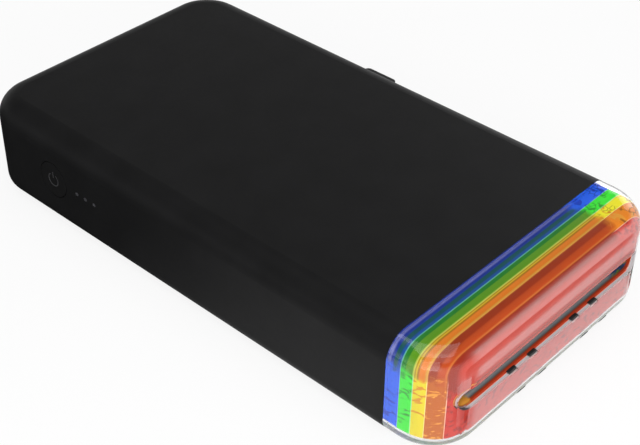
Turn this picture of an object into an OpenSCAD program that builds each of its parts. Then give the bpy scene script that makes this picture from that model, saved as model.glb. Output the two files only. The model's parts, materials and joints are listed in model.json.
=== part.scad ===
// Compact photo printer: a black rounded casing with a clear striped nose, a paper slot through
// the nose and a side door over the cartridge. Origin on the desk under the middle of the casing,
// nose towards -Y, power button on the -X side, cartridge door on the +X side.

/* [Casing] */
// Height above the foot ring
body_h = 26.4; // [25:0.1:30]
// Room beside the photo sheets on each side, for the gears and the door
side_room = 13; // [12.5:0.25:15]
// Room between the nose and the sheet stack, for the print rollers
front_room = 34.4; // [33:0.2:38]
// Room behind the sheet stack, for the charging socket
rear_room = 12.7; // [12:0.1:16]
// Radius of the upright corners
plan_r = 11.8; // [11:0.1:12.4]
// Radius of the top edges
top_r = 5.8; // [5:0.1:6]
// Radius of the bottom edges
bottom_r = 3.7; // [3.2:0.1:4]
// Thickness of the casing walls
wall = 2; // [1.8:0.05:2.1]
// Height of the foot ring below the casing
foot_h = 0.6; // [0.4:0.1:1]
// Thickness of the bottom cover
cover_t = 1.8; // [1.5:0.1:1.9]
// Width of the foot ring's band
foot_band = 3.5; // [2.5:0.1:5]

/* [Nose] */
// Depth of the clear nose, from its face to the black rim
nose_len = 15.3; // [15:0.1:16.2]
// Thickness of the clear front wall
front_t = 1.9; // [1.6:0.1:2]
// Thickness of the blue plate
blue_t = 3.1; // [2.8:0.1:3.3]
// Thickness of the green plate
green_t = 3; // [2.7:0.1:3.2]
// Thickness of the yellow plate
yellow_t = 2.7; // [2.5:0.1:2.9]
// Thickness of the orange plate
orange_t = 3.1; // [2.8:0.1:3.3]
// Radius of the plates' upright corners
plate_r = 8.2; // [7.8:0.1:8.8]
// Distance from the casing's side to the end of the exit slot
slot_side = 6.6; // [6.4:0.1:8]
// Height of the exit slot
slot_h = 5.6; // [5:0.1:6.2]
// Height of the slot's middle above the underside of the casing
slot_mid = 13.45; // [13.2:0.05:14]
// Wall of the dark chute behind the red plate
chute_t = 0.8; // [0.7:0.05:1]
// Width of a guide finger in the slot
finger_w = 2.6; // [2:0.1:3]
// Height of a guide finger
finger_h = 0.6; // [0.5:0.05:0.7]
// Distance from the middle to the inner guide fingers
finger_in = 7.9; // [7:0.1:9]
// Distance from the middle to the outer guide fingers
finger_out = 15.2; // [14:0.1:17]

/* [Door] */
// Distance from the nose's rim to the front end of the cartridge door
door_front = 15.5; // [14:0.1:18]
// Distance from the rear face to the rear end of the door
door_rear = 12.2; // [12:0.1:16]
// Distance from the casing's top to the door's top edge
door_drop = 4.1; // [4:0.1:6]
// Gap round the door
door_gap = 0.25; // [0.2:0.05:0.3]
// Diameter of the hinge barrel along the door's lower edge
barrel_d = 2.2; // [2:0.1:2.4]
// Diameter of the hinge pins
hinge_pin_d = 1.1; // [0.9:0.1:1.2]
// Length of the pull tab along the door
tab_len = 10.2; // [9:0.1:12]
// Reach of the pull tab beyond the casing
tab_out = 2.75; // [2:0.05:2.9]
// Thickness of the pull tab
tab_t = 1.6; // [1.4:0.1:1.8]
// Middle of the pull tab behind the middle of the casing
tab_mid = 11.3; // [10:0.1:13]

/* [Button and lights] */
// Diameter of the power button
button_d = 9.6; // [9:0.1:10.5]
// Gap round the power button
button_gap = 0.2; // [0.15:0.05:0.3]
// Travel of the power button
button_travel = 0.5; // [0.3:0.05:0.6]
// Distance from the lights' middle back to the button's middle
button_behind = 12.2; // [11:0.1:14]
// Height of the button's middle above the underside of the casing
button_mid = 13; // [12.5:0.1:13.5]
// Diameter of a status light
light_d = 1; // [0.8:0.1:1.2]
// Distance from the pick shaft back to the middle of the status lights
lights_behind = 17.75; // [17:0.05:20]
// Distance between status lights
light_pitch = 3.2; // [2.8:0.1:3.6]

/* [Cartridge] */
// Width of a photo sheet
sheet_w = 54; // [50:0.5:62]
// Length of a photo sheet
sheet_len = 86; // [76:0.5:96]
// Height of the sheet stack
stack_t = 2.8; // [2:0.1:3]
// Wall of the cartridge case
case_t = 0.8; // [0.7:0.05:0.9]
// Gap between the full supply spool and its chamber
supply_gap = 0.4; // [0.3:0.05:0.8]
// Gap between the partly filled take-up spool and its chamber
take_up_gap = 1; // [0.4:0.1:1.5]
// Thickness of the drawn ribbon
ribbon_t = 0.1; // [0.08:0.01:0.12]

/* [Rollers and shafts] */
// Diameter of the platen, capstan and pinch rollers
roller_d = 6; // [5.8:0.1:6.1]
// Reach of the rollers past each edge of a sheet
roller_over = 1; // [0.5:0.1:1.5]
// Diameter of the roller journals
journal_d = 2.5; // [2.2:0.1:2.6]
// Running clearance of a journal in its bore, on the radius
run_gap = 0.05; // [0.03:0.01:0.08]
// Gap between bodies that pass each other
free_gap = 0.3; // [0.25:0.05:0.35]
// Diameter of the pick roller
pick_d = 7; // [6.6:0.1:7.2]
// Diameter of the head pivot shaft
pivot_d = 2.5; // [2.2:0.1:2.6]
// Radius of the cams that press the head
cam_r = 3; // [2.8:0.05:3.1]
// Eccentricity of the cams
cam_throw = 0.25; // [0.2:0.01:0.28]

/* [Gears] */
// Gear module, pitch diameter over the number of teeth
gear_m = 0.5; // [0.49:0.01:0.51]
// Thickness of a gear
gear_t = 1.8; // [1.5:0.1:1.9]
// Backlash taken off each tooth at the pitch circle
backlash = 0.12; // [0.08:0.01:0.16]
// Teeth of the motor pinions
pinion_n = 10; // [10]
// Teeth of the large step of the two-step gear
step_big_n = 32; // [32]
// Teeth of the small step of the two-step gear
step_small_n = 12; // [12]
// Teeth of the reduction gear
reduction_n = 32; // [32]
// Teeth of the take-up gear
take_up_n = 16; // [16]
// Teeth of the capstan gear
capstan_n = 20; // [20]
// Teeth of the pick gear
pick_n = 28; // [28]
// Teeth of the cam gear
cam_n = 20; // [20]

/* [Electronics] */
// Thickness of the circuit boards
board_t = 1; // [0.8:0.1:1.2]
// Height of the battery
battery_h = 6; // [5:0.5:6.5]
// Width of the charging socket's mouth
socket_w = 8.9; // [8.8:0.05:9]
// Height of the charging socket's mouth
socket_h = 3.2; // [3.1:0.05:3.3]
// Diameter of the screws
screw_d = 1.6; // [1.4:0.1:1.8]

/* [Hidden] */
$fn = 64;

// The casing wraps the sheet stack, and the mechanism in front of and beside it
case_len = sheet_len + 2 * case_t + 1;
body_len = nose_len + front_room + case_len + rear_room;
body_w = sheet_w + 2 * side_room;

// Heights and faces of the casing
base_z = foot_h;
top_z = base_z + body_h;
front_y = -body_len / 2;
rear_y = body_len / 2;
rim_y = front_y + nose_len;
side_x = body_w / 2;
in_x = side_x - wall;
in_top = top_z - wall;
in_floor = base_z + wall;
slot_z = base_z + slot_mid;
slot_w = body_w - 2 * slot_side;
red_behind = blue_t + green_t + yellow_t + orange_t;
seam = 0.1;
foot_w = body_w - 36;
foot_l = body_len - 59;
foot_y = 4;
foot_r = 8;

// Door opening and hinge
door_y0 = rim_y + door_front;
door_y1 = rear_y - door_rear;
door_len = door_y1 - door_y0;
door_mid = (door_y0 + door_y1) / 2;
door_top = top_z - door_drop;
hinge_x = side_x - barrel_d / 2;
hinge_z = base_z + bottom_r - 0.1;
barrel_clear = 0.3;
lug_len = 3;
pin_in = 5;
catch_z = door_top - 4.6;
rib_t = 1;
tab_seat = 1.2;
tab_top = door_top - door_gap;
magnet_d = 4;
magnet_t = 1.6;
magnet_y = door_y1 - 8;

// Chassis
plate = 1.5;
left_x = 9.5 - side_x;
right_x = side_x - 9;
chassis_y0 = rim_y + 2;
chassis_y1 = rear_y - wall - 5.5;
floor_z = in_floor;
floor_top = floor_z + 1;
tie_t = 0.8;
wall_top = in_top - 0.1 - tie_t;
arm_z = in_top - 1.6;
arm_t = 1;
deck_z = floor_top + 6.2;
deck_t = 1;

// Print line, paper path and shafts, as [y, z]
tray_y0 = rim_y + front_room;
print_y = tray_y0 - 4.2;
roller_r = roller_d / 2;
roller_len = sheet_w + 2 * roller_over;
platen_at = [print_y, floor_top + 3.5];
path_z = platen_at[1] + roller_r;
capstan_at = [print_y - 20, floor_top + 5];
pinch_at = [capstan_at[0], capstan_at[1] + roller_d + free_gap];
chamber_top = arm_z - 0.8;
chamber_r = (chamber_top - path_z - 2.1) / 2;
chamber_z = chamber_top - chamber_r;
supply_r = chamber_r - case_t - supply_gap;
take_up_r = chamber_r - case_t - take_up_gap;
core_r = 2.4;
take_up_at = [print_y - 3 - chamber_r, chamber_z];
supply_at = [print_y + 3 + chamber_r, chamber_z];
pivot_at = [supply_at[0] + chamber_r + 5.6, chamber_z + 2.9];
cam_at = [pivot_at[0] + 8.4, pivot_at[1] - 5.1];
feed_at = [cam_at[0] + 10.6, chamber_z + 0.2];
feed_r = feed_at[1] - deck_z - deck_t - 1;

// Gears: each one meets the next at the sum of their pitch radii, and the idler and link gears
// have the teeth that it takes to reach from one fixed shaft to the next
function pitch_r(n) = gear_m * n / 2;
function meet(a, ra, b, rb, side) =
  let (
    d = norm(b - a),
    along = (ra * ra - rb * rb + d * d) / (2 * d),
    up = sqrt(ra * ra - along * along),
    u = (b - a) / d
  ) a + u * along + side * up * [-u[1], u[0]];
function at_angle(a, r, angle) = a + r * [cos(angle), sin(angle)];
function heading(a, b) = atan2(b[1] - a[1], b[0] - a[0]);
two_step_at = at_angle(feed_at, pitch_r(pinion_n + step_big_n), 210.2);
reduction_at = at_angle(two_step_at, pitch_r(step_small_n + reduction_n), 173);
function reach_n(a, na, b, nb) = ceil(norm(b - a) / gear_m - (na + nb) / 2);
idler_n = 1 + reach_n(reduction_at, reduction_n, take_up_at, take_up_n);
link_n = reach_n(take_up_at, take_up_n, capstan_at, capstan_n);
idler_at = meet(reduction_at, pitch_r(reduction_n + idler_n), take_up_at, pitch_r(idler_n + take_up_n), 1);
link_at = meet(take_up_at, pitch_r(take_up_n + link_n), capstan_at, pitch_r(link_n + capstan_n), 1);
pick_at = at_angle(feed_at, pitch_r(pinion_n + pick_n), -6);
cam_motor_at = at_angle(cam_at, pitch_r(cam_n + pinion_n), 15);
inner_layer_x = left_x - plate - 0.4 - gear_t;
outer_layer_x = inner_layer_x - 0.3 - gear_t;
cam_gear_x = right_x - 7.4;
cam_w = 2;
arm_x0 = left_x + 2.1;
arm_x1 = right_x - 2.6;
ear_t = 1;
hub_r = 1.6;
post_r = 0.8;
bush_flange = 0.4;
post_places = [two_step_at, reduction_at, idler_at, link_at];

// Tooth phases, so that each pair is in mesh at rest
function mesh_phase(a, b, na, nb, phase_a) =
  let (h = heading(a, b)) h + 180 - ((h - phase_a) * -na / nb) + 180 / nb;
feed_phase = 0;
two_step_phase = mesh_phase(feed_at, two_step_at, pinion_n, step_big_n, feed_phase);
reduction_phase = mesh_phase(two_step_at, reduction_at, step_small_n, reduction_n, two_step_phase);
idler_phase = mesh_phase(reduction_at, idler_at, reduction_n, idler_n, reduction_phase);
take_up_phase = mesh_phase(idler_at, take_up_at, idler_n, take_up_n, idler_phase);
link_phase = mesh_phase(take_up_at, link_at, take_up_n, link_n, take_up_phase);
capstan_phase = mesh_phase(link_at, capstan_at, link_n, capstan_n, link_phase);
pick_phase = mesh_phase(feed_at, pick_at, pinion_n, pick_n, feed_phase);
cam_phase = mesh_phase(cam_motor_at, cam_at, pinion_n, cam_n, 0);

// Cartridge
case_x0 = left_x + 1;
case_x1 = right_x - 1;
tray_y1 = tray_y0 + case_len;
window_pitch = (sheet_len - 10) / 3;
tray_z0 = floor_top + free_gap;
tray_top = deck_z - 0.6;
end_t = 1.6;

// Pick arm
pick_arm_len = 12.4;
pick_touch = 0.17;
stack_top = tray_z0 + case_t + stack_t;
pick_drop = asin((pick_at[1] - stack_top - pick_touch - pick_d / 2) / pick_arm_len);
pick_roller_at = pick_at - pick_arm_len * [cos(pick_drop), sin(pick_drop)];
pulley_r = 2.2;
pulley_x = -3;
pulley_w = 1.6;
belt_t = 0.5;

// Side board behind the button and the lights
side_board_x = 4.8 - side_x;
switch_t = 1;
light_y = pick_at[0] + lights_behind;
button_y = light_y + button_behind;
button_z = base_z + button_mid;
side_board_y0 = light_y - 6.2;
side_board_y1 = button_y + 6.6;
side_board_z = 8;
side_board_h = 12;
side_bosses = [for (y = [side_board_y0 + 2, side_board_y1 - 1.5]) [y, 17.5]];

// Main board over the battery, and the charging board at the rear wall
deck_y0 = feed_at[0] - 7;
deck_y1 = tray_y1 + 3;
board_y0 = pick_at[0] + 4.5;
board_y1 = tray_y1 - 0.8;
board_w = sheet_w + 2;
board_z = in_top - 5.2;
board_screws = [for (x = [-1, 1], y = [board_y0 + 2, board_y1 - 2]) [x * (board_w / 2 - 2), y]];
battery_w = board_w - 8;
battery_y0 = board_y0 + 1;
battery_y1 = board_y1 - 1;
charging_z = button_z - socket_h / 2 - board_t;
charging_lugs = [-13.5, 11.5];
cable_x = 6;
cable_w = 12;
cable_y = board_y0 + 10;
cable_t = 0.2;

// Places of the cover screws, as [x, y]
cover_screws = [for (x = [-1, 1], y = [rim_y + 13.2, rear_y - 12.5]) [x * (side_x - 13), y]];

// Half section of the casing's edge: r deep, h high, round at the top and bottom
module edge_half(r, h, rt, rb) {
  intersection() {
    union() {
      translate([0, rb]) square([r, h - rt - rb]);
      square([r - rb, h / 2]);
      translate([0, h / 2]) square([r - rt, h / 2]);
      translate([r - rt, h - rt]) circle(rt);
      translate([r - rb, rb]) circle(rb);
    }
    square([r, h]);
  }
}

// Closed box with round upright corners and round top and bottom edges, standing on z = 0
module pillow(l, w, h, r, rt, rb) {
  for (turn = [0, 180]) rotate(turn) {
    translate([w / 2 - r, l / 2 - r, 0]) rotate_extrude(angle = 90) edge_half(r, h, rt, rb);
    translate([r - w / 2, l / 2 - r, 0])
      rotate(90) rotate_extrude(angle = 90) edge_half(r, h, rt, rb);
    translate([w / 2 - r, l / 2 - r, 0])
      rotate([90, 0, 0]) linear_extrude(l - 2 * r) edge_half(r, h, rt, rb);
    translate([r - w / 2, l / 2 - r, 0])
      rotate([90, 0, 90]) linear_extrude(w - 2 * r) edge_half(r, h, rt, rb);
  }
  translate([r - w / 2, r - l / 2, 0]) cube([w - 2 * r, l - 2 * r, h]);
}

// The casing's outer form, or that form drawn in by a distance on every side
module casing_form(inset = 0) {
  translate([0, 0, base_z + inset])
    pillow(body_len - 2 * inset, body_w - 2 * inset, body_h - 2 * inset,
      plan_r - inset, top_r - inset, bottom_r - inset);
}

// Everything between two distances along Y
module slab(y0, y1) {
  translate([-60, y0, -5]) cube([120, y1 - y0, 50]);
}

// Rod along X from x0 to x1 about a point [y, z]
module rod(x0, x1, at, r) {
  translate([x0, at[0], at[1]]) rotate([0, 90, 0]) cylinder(r = r, h = x1 - x0);
}

// Plate in the Y-Z plane from an outline of [y, z] points, from x0 to x1
module yz_plate(x0, x1, points) {
  translate([x0, 0, 0]) rotate([90, 0, 90]) linear_extrude(x1 - x0) polygon(points);
}

module rounded_rect(x, y, r) {
  square([x - 2 * r, y], center = true);
  square([x, y - 2 * r], center = true);
  for (i = [-1, 1], j = [-1, 1]) translate([i * (x / 2 - r), j * (y / 2 - r)]) circle(r);
}

// Slot with round ends through the nose
module slot_cut(y0, y1, grow = 0) {
  half = slot_w / 2 - slot_h / 2;
  r = slot_h / 2 + grow;
  translate([0, y1, slot_z]) rotate([90, 0, 0]) linear_extrude(y1 - y0) {
    square([2 * half, 2 * r], center = true);
    for (side = [-1, 1]) translate([side * half, 0]) circle(r);
  }
}

// The four guide fingers, or the grooves they lie in when grown
module fingers(y0, y1, grow = 0) {
  z0 = slot_z - slot_h / 2 - finger_h / 2;
  for (x = [-finger_out, -finger_in, finger_in, finger_out])
    translate([x - finger_w / 2 - grow, y0, z0 - grow])
      cube([finger_w + 2 * grow, y1 - y0, finger_h + 2 * grow]);
}

// Spur gear outline: straight-sided teeth, narrowed by the backlash
module gear_outline(n, phase) {
  p = pitch_r(n);
  tip = p + 0.9 * gear_m;
  root = p - 1.2 * gear_m;
  half = 90 / n - backlash / p * 90 / PI;
  lean = 0.9 * gear_m * tan(20) / p * 180 / PI;
  tooth = [
    [root, -half - lean], [p, -half], [tip, -half + lean],
    [tip, half - lean], [p, half], [root, half + lean]
  ];
  polygon([for (i = [0 : n - 1], q = tooth) q[0] * at_angle([0, 0], 1, phase + i * 360 / n + q[1])]);
}

// Spur gear across X from x0, about [y, z]
module spur(x0, at, n, phase, t = gear_t) {
  translate([x0, at[0], at[1]]) rotate([90, 0, 90]) linear_extrude(t) gear_outline(n, phase);
}

module door_window() {
  translate([in_x - 5, door_y0, hinge_z]) cube([12, door_len, door_top - hinge_z]);
}

module hinge_rod(y0, y1, r) {
  translate([hinge_x, y1, hinge_z]) rotate([90, 0, 0]) cylinder(r = r, h = y1 - y0);
}

// Outline of the bottom cover, or the same drawn in
module cover_outline(inset) {
  y0 = rim_y + 3;
  y1 = rear_y - 6;
  translate([0, (y0 + y1) / 2])
    rounded_rect(body_w - 12 - 2 * inset, y1 - y0 - 2 * inset, 6 - inset);
}

module outer_shell() {
  color("#1c1c1d") difference() {
    union() {
      difference() {
        casing_form();
        casing_form(wall);
      }
      intersection() {
        casing_form(0.4);
        for (y = [door_y0 - lug_len, door_y1])
          translate([hinge_x - 2.4, y, hinge_z - 1.6]) cube([4, lug_len, 3.2]);
      }
    }
    slab(front_y - 1, rim_y);
    translate([0, 0, base_z - 1]) linear_extrude(2) cover_outline(0);
    translate([0, 0, base_z]) linear_extrude(wall + 1) cover_outline(1.6);
    door_window();
    hinge_rod(door_y0, door_y1, barrel_d / 2 + barrel_clear);
    translate([hinge_x, door_y0, hinge_z - barrel_d / 2 - barrel_clear]) cube([5, door_len, 3]);
    hinge_rod(door_y0 - lug_len - 1, door_y1 + lug_len + 1, hinge_pin_d / 2);
    rod(-side_x - 1, wall + 1 - side_x, [button_y, button_z], button_d / 2 + button_gap);
    for (i = [-1 : 1])
      rod(-side_x - 1, wall + 1 - side_x, [light_y + i * light_pitch, button_z], light_d / 2 + seam);
    translate([0, rear_y - wall - 1, button_z]) rotate([-90, 0, 0]) linear_extrude(wall + 2)
      rounded_rect(socket_w + 0.6, socket_h + 0.6, socket_h / 2 + 0.25);
  }
}

module bottom_cover() {
  color("#202021") difference() {
    union() {
      translate([0, 0, base_z]) linear_extrude(1) cover_outline(seam);
      translate([0, 0, base_z]) linear_extrude(cover_t) cover_outline(1.6 + seam);
    }
    translate([0, 0, base_z - 1]) linear_extrude(1.5) foot_outline(seam);
    for (s = cover_screws) translate([s[0], s[1], base_z - 1]) {
      cylinder(d = screw_d + 0.3, h = 5);
      cylinder(d = 3.4, h = 1.9);
    }
  }
}

module foot_outline(grow = 0) {
  hole = 2 * (foot_band + grow);
  translate([0, foot_y]) difference() {
    rounded_rect(foot_w + 2 * grow, foot_l + 2 * grow, foot_r + grow);
    rounded_rect(foot_w - hole, foot_l - hole, foot_r - hole / 2);
  }
}

module foot_ring() {
  color("#2b2b2c") linear_extrude(base_z + 0.5) foot_outline();
}

module clear_nose() {
  color("#dfe6ea", 0.4) difference() {
    intersection() {
      casing_form();
      slab(front_y - 1, rim_y - seam);
    }
    nose_core(0);
    slot_cut(front_y - 1, front_y + front_t + 1);
    fingers(front_y - 1, front_y + front_t + 1, seam);
  }
}

// Space inside the clear nose, drawn in by a clearance
module nose_core(clear) {
  r = wall + clear;
  intersection() {
    translate([0, front_t - wall, base_z + r])
      pillow(body_len - 2 * wall, body_w - 2 * r, body_h - 2 * r,
        plate_r - clear, top_r - r, bottom_r - r);
    slab(front_y + front_t + clear, rim_y + 1);
  }
}

// One tinted plate between two distances from the rim, cut by the slot, or by the chute round it,
// and by the finger grooves
module tinted_plate(from, thick, tint, round_slot = chute_t + seam) {
  color(tint, 0.7) difference() {
    intersection() {
      nose_core(seam);
      slab(rim_y - from - thick, rim_y - from);
    }
    slot_cut(front_y, rim_y + 1, round_slot);
    fingers(front_y, rim_y + 1, seam);
  }
}

module blue_plate() {
  tinted_plate(seam, blue_t - seam, "#1e5aff");
}

module green_plate() {
  tinted_plate(blue_t, green_t, "#28e628");
}

module yellow_plate() {
  tinted_plate(blue_t + green_t, yellow_t, "#fff528");
}

module orange_plate() {
  tinted_plate(blue_t + green_t + yellow_t, orange_t, "#eb8228");
}

module red_plate() {
  tinted_plate(red_behind, nose_len - front_t - red_behind, "#dc3c28", 0);
}

// Black wall behind the plates, flush with the rim, with the chute that reaches the red plate
module front_bulkhead() {
  color("#161617") difference() {
    union() {
      intersection() {
        casing_form(wall + seam);
        slab(rim_y, rim_y + 2);
      }
      intersection() {
        slot_cut(rim_y - red_behind + seam, rim_y + 1, chute_t);
        nose_core(seam);
      }
    }
    slot_cut(front_y, rim_y + 3);
    fingers(front_y, rim_y + 3, seam);
  }
}

// Ramp from the capstan to the slot, with the four fingers that reach the slot's lip
module exit_guide() {
  lip_z = slot_z - slot_h / 2 + 0.4;
  back_y = capstan_at[0] - roller_r - 1;
  color("#2a2a2c") {
    fingers(front_y + 0.5, rim_y + 2.4);
    yz_plate(left_x + 0.5, right_x - 0.5, [
      [rim_y + 2, lip_z - 3], [back_y - 0.6, lip_z - 3], [back_y, lip_z - 2.6],
      [back_y, lip_z - 0.9], [rim_y + 2, lip_z]
    ]);
    for (x = [left_x + 0.5, right_x - 3.5])
      translate([x, rim_y + 2, floor_top]) cube([3, 1.5, lip_z - 2 - floor_top]);
  }
}

module door_slice(clear) {
  intersection() {
    difference() {
      casing_form();
      casing_form(wall);
    }
    translate([in_x - 5, door_y0 + clear, hinge_z])
      cube([12, door_len - 2 * clear, door_top - hinge_z - clear]);
  }
}

module cartridge_door() {
  color("#1c1c1d") difference() {
    union() {
      door_slice(door_gap);
      hinge_rod(door_y0 + door_gap, door_y1 - door_gap, barrel_d / 2);
      for (i = [0 : 4])
        translate([in_x - 0.8, door_y0 + 10 + i * (door_len - 21) / 4, hinge_z + 3])
          cube([0.8, rib_t, door_top - hinge_z - 8]);
      translate([in_x - 1.2, tab_mid - 3, catch_z]) cube([1.2, 6, rib_t]);
    }
    hinge_rod(door_y0, door_y0 + pin_in + 1, hinge_pin_d / 2 + run_gap);
    hinge_rod(door_y1 - pin_in - 1, door_y1, hinge_pin_d / 2 + run_gap);
    tab_form(seam, tab_seat);
    rod(in_x - 1, in_x - 1 + magnet_t, [magnet_y, button_z], magnet_d / 2 + run_gap);
  }
}

// Pull tab seen from above: round outer corners, rooted in the door
module tab_form(grow, root) {
  corner = 1.3;
  up = grow > 0 ? 1 : 0;
  translate([0, 0, tab_top - tab_t - grow]) linear_extrude(tab_t + 2 * grow + up) {
    translate([side_x - root - grow, tab_mid - tab_len / 2 - grow])
      square([root + tab_out - corner + grow, tab_len + 2 * grow]);
    translate([side_x, tab_mid - tab_len / 2 + corner - grow])
      square([tab_out + grow, tab_len - 2 * corner + 2 * grow]);
    for (side = [-1, 1]) translate([side_x + tab_out - corner, tab_mid + side * (tab_len / 2 - corner)])
      circle(corner + grow);
  }
}

module pull_tab() {
  color("#222223") difference() {
    tab_form(0, tab_seat);
    translate([side_x + 0.8, tab_mid - tab_len, tab_top - tab_t - 0.6]) cube([1.1, 2 * tab_len, 1]);
  }
}

module hinge_pins() {
  color("#c8c8ca") {
    hinge_rod(door_y0 - lug_len + 0.3, door_y0 + pin_in, hinge_pin_d / 2);
    hinge_rod(door_y1 - pin_in, door_y1 + lug_len - 0.3, hinge_pin_d / 2);
  }
}

// Leaf spring on the chassis whose bump bears on the door's rib
module door_catch() {
  z = catch_z + rib_t + free_gap;
  x = right_x + plate;
  leaf = 0.4;
  color("#b9babd") xz_plate(tab_mid - 2.5, tab_mid + 2.5, [
    [x, z + 0.3], [in_x - 1.2, z + 0.3], [in_x - 0.9, z], [in_x - 0.6, z], [in_x - 0.3, z + 0.3],
    [in_x - 0.3, z + 0.3 + leaf], [x + leaf, z + 0.3 + leaf], [x + leaf, z + 3.1], [x, z + 3.1]
  ]);
}

// Plate in the X-Z plane from an outline of [x, z] points, from y0 to y1
module xz_plate(y0, y1, points) {
  translate([0, y1, 0]) rotate([90, 0, 0]) linear_extrude(y1 - y0) polygon(points);
}

module door_magnet() {
  color("#8f9296") rod(in_x - 1, in_x - 1 + magnet_t, [magnet_y, button_z], magnet_d / 2);
}

module power_button() {
  at = [button_y, button_z];
  flange_t = 0.6;
  color("#1f1f20") {
    rod(-side_x, -in_x, at, button_d / 2);
    rod(-in_x, flange_t - in_x, at, button_d / 2 + 0.8);
    rod(flange_t - in_x, side_board_x - switch_t - button_travel, at, 0.9);
  }
}

module light_pipes() {
  color("#e8eef2", 0.7) for (i = [-1 : 1])
    rod(-side_x, side_board_x - 0.7, [light_y + i * light_pitch, button_z], light_d / 2);
}

// Upright board with the button's switch and the three lamps soldered to it
module side_board() {
  color("#1f5a3c") {
    difference() {
      translate([side_board_x, side_board_y0, side_board_z])
        cube([board_t, side_board_y1 - side_board_y0, side_board_h]);
      for (at = side_bosses) rod(side_board_x - 1, side_board_x + 3, at, 0.5);
    }
    translate([side_board_x + board_t, button_y - 3.4, side_board_z + 2]) cube([1, 7, 3]);
    translate([side_board_x - switch_t, button_y - 2, button_z - 2]) cube([switch_t, 4, 4]);
    for (i = [-1 : 1]) translate([side_board_x - 0.6, light_y + i * light_pitch - 0.8, button_z - 0.5])
      cube([0.6, 1.6, 1]);
  }
}

// Main board over the battery, with its chips, radio can and sockets
module main_board() {
  color("#1d5138") {
    difference() {
      translate([-board_w / 2, board_y0, board_z]) cube([board_w, board_y1 - board_y0, board_t]);
      for (s = board_screws) translate([s[0], s[1], board_z - 1]) cylinder(d = screw_d, h = 3);
    }
    translate([0, board_y0, board_z + board_t]) {
      translate([-8, 14, 0]) cube([12, 12, 1]);
      translate([10, 12, 0]) cube([13, 17, 1.6]);
      translate([-24, 18, 0]) cube([9, 7, 0.9]);
      for (i = [0 : 4]) translate([i * 5 - 22, 4, 0]) cube([3, 2.2, 1]);
    }
    translate([-10, board_y1 - 5, board_z + board_t]) cube([16, 4, 1.8]);
  }
}

module battery() {
  r = battery_h / 2;
  z = deck_z + deck_t;
  color("#b8bcc0") {
    for (y = [battery_y0 + r, battery_y1 - r]) rod(-battery_w / 2, battery_w / 2, [y, z + r], r);
    translate([-battery_w / 2, battery_y0 + r, z])
      cube([battery_w, battery_y1 - battery_y0 - battery_h, battery_h]);
  }
}

module charging_board() {
  y0 = chassis_y1 + 0.2;
  color("#1d5138") difference() {
    translate([-16, y0, charging_z]) cube([30, rear_y - wall - 0.3 - y0, board_t]);
    for (x = charging_lugs) translate([x, chassis_y1 + 2, charging_z - 1]) cylinder(d = screw_d, h = 4);
  }
}

module charging_socket() {
  y1 = rear_y - 0.8;
  color("#c4c6c9") difference() {
    translate([0, y1 - 7.2, button_z]) rotate([-90, 0, 0]) linear_extrude(7.2)
      rounded_rect(socket_w, socket_h, socket_h / 2 - 0.02);
    difference() {
      translate([0, y1 - 6.2, button_z]) rotate([-90, 0, 0]) linear_extrude(7)
        rounded_rect(socket_w - 0.6, socket_h - 0.6, socket_h / 2 - 0.32);
      translate([-3.3, y1 - 7, button_z - 0.35]) cube([6.6, 6.2, 0.7]);
    }
  }
}

// Flat cable that runs under the casing's top from the head to the main board
module head_cable() {
  z = in_top - 0.5;
  y0 = pivot_at[0] + 3.4;
  low = board_z + board_t;
  color("#8a5a2a") yz_plate(cable_x, cable_x + cable_w, [
    [y0, z], [cable_y - cable_t, z], [cable_y - cable_t, low],
    [cable_y, low], [cable_y, z + cable_t], [y0, z + cable_t]
  ]);
}

// One upright side of the chassis, from x0
module side_wall(x0) {
  yz_plate(x0, x0 + plate, [
    [chassis_y0, floor_z], [chassis_y1, floor_z], [chassis_y1, wall_top - 4],
    [chassis_y1 - 4, wall_top], [chassis_y0 + 3, wall_top], [chassis_y0, wall_top - 3]
  ]);
}

// Bores for the journals in a chassis wall that starts at x0
module journal_bores(x0) {
  for (at = [platen_at, capstan_at, pinch_at])
    rod(x0 - 1, x0 + plate + 1, at, journal_d / 2 + 1);
  rod(x0 - 1, x0 + plate + 1, cam_at, journal_d / 2 + run_gap);
  rod(x0 - 1, x0 + plate + 1, pivot_at, pivot_d / 2);
}

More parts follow.
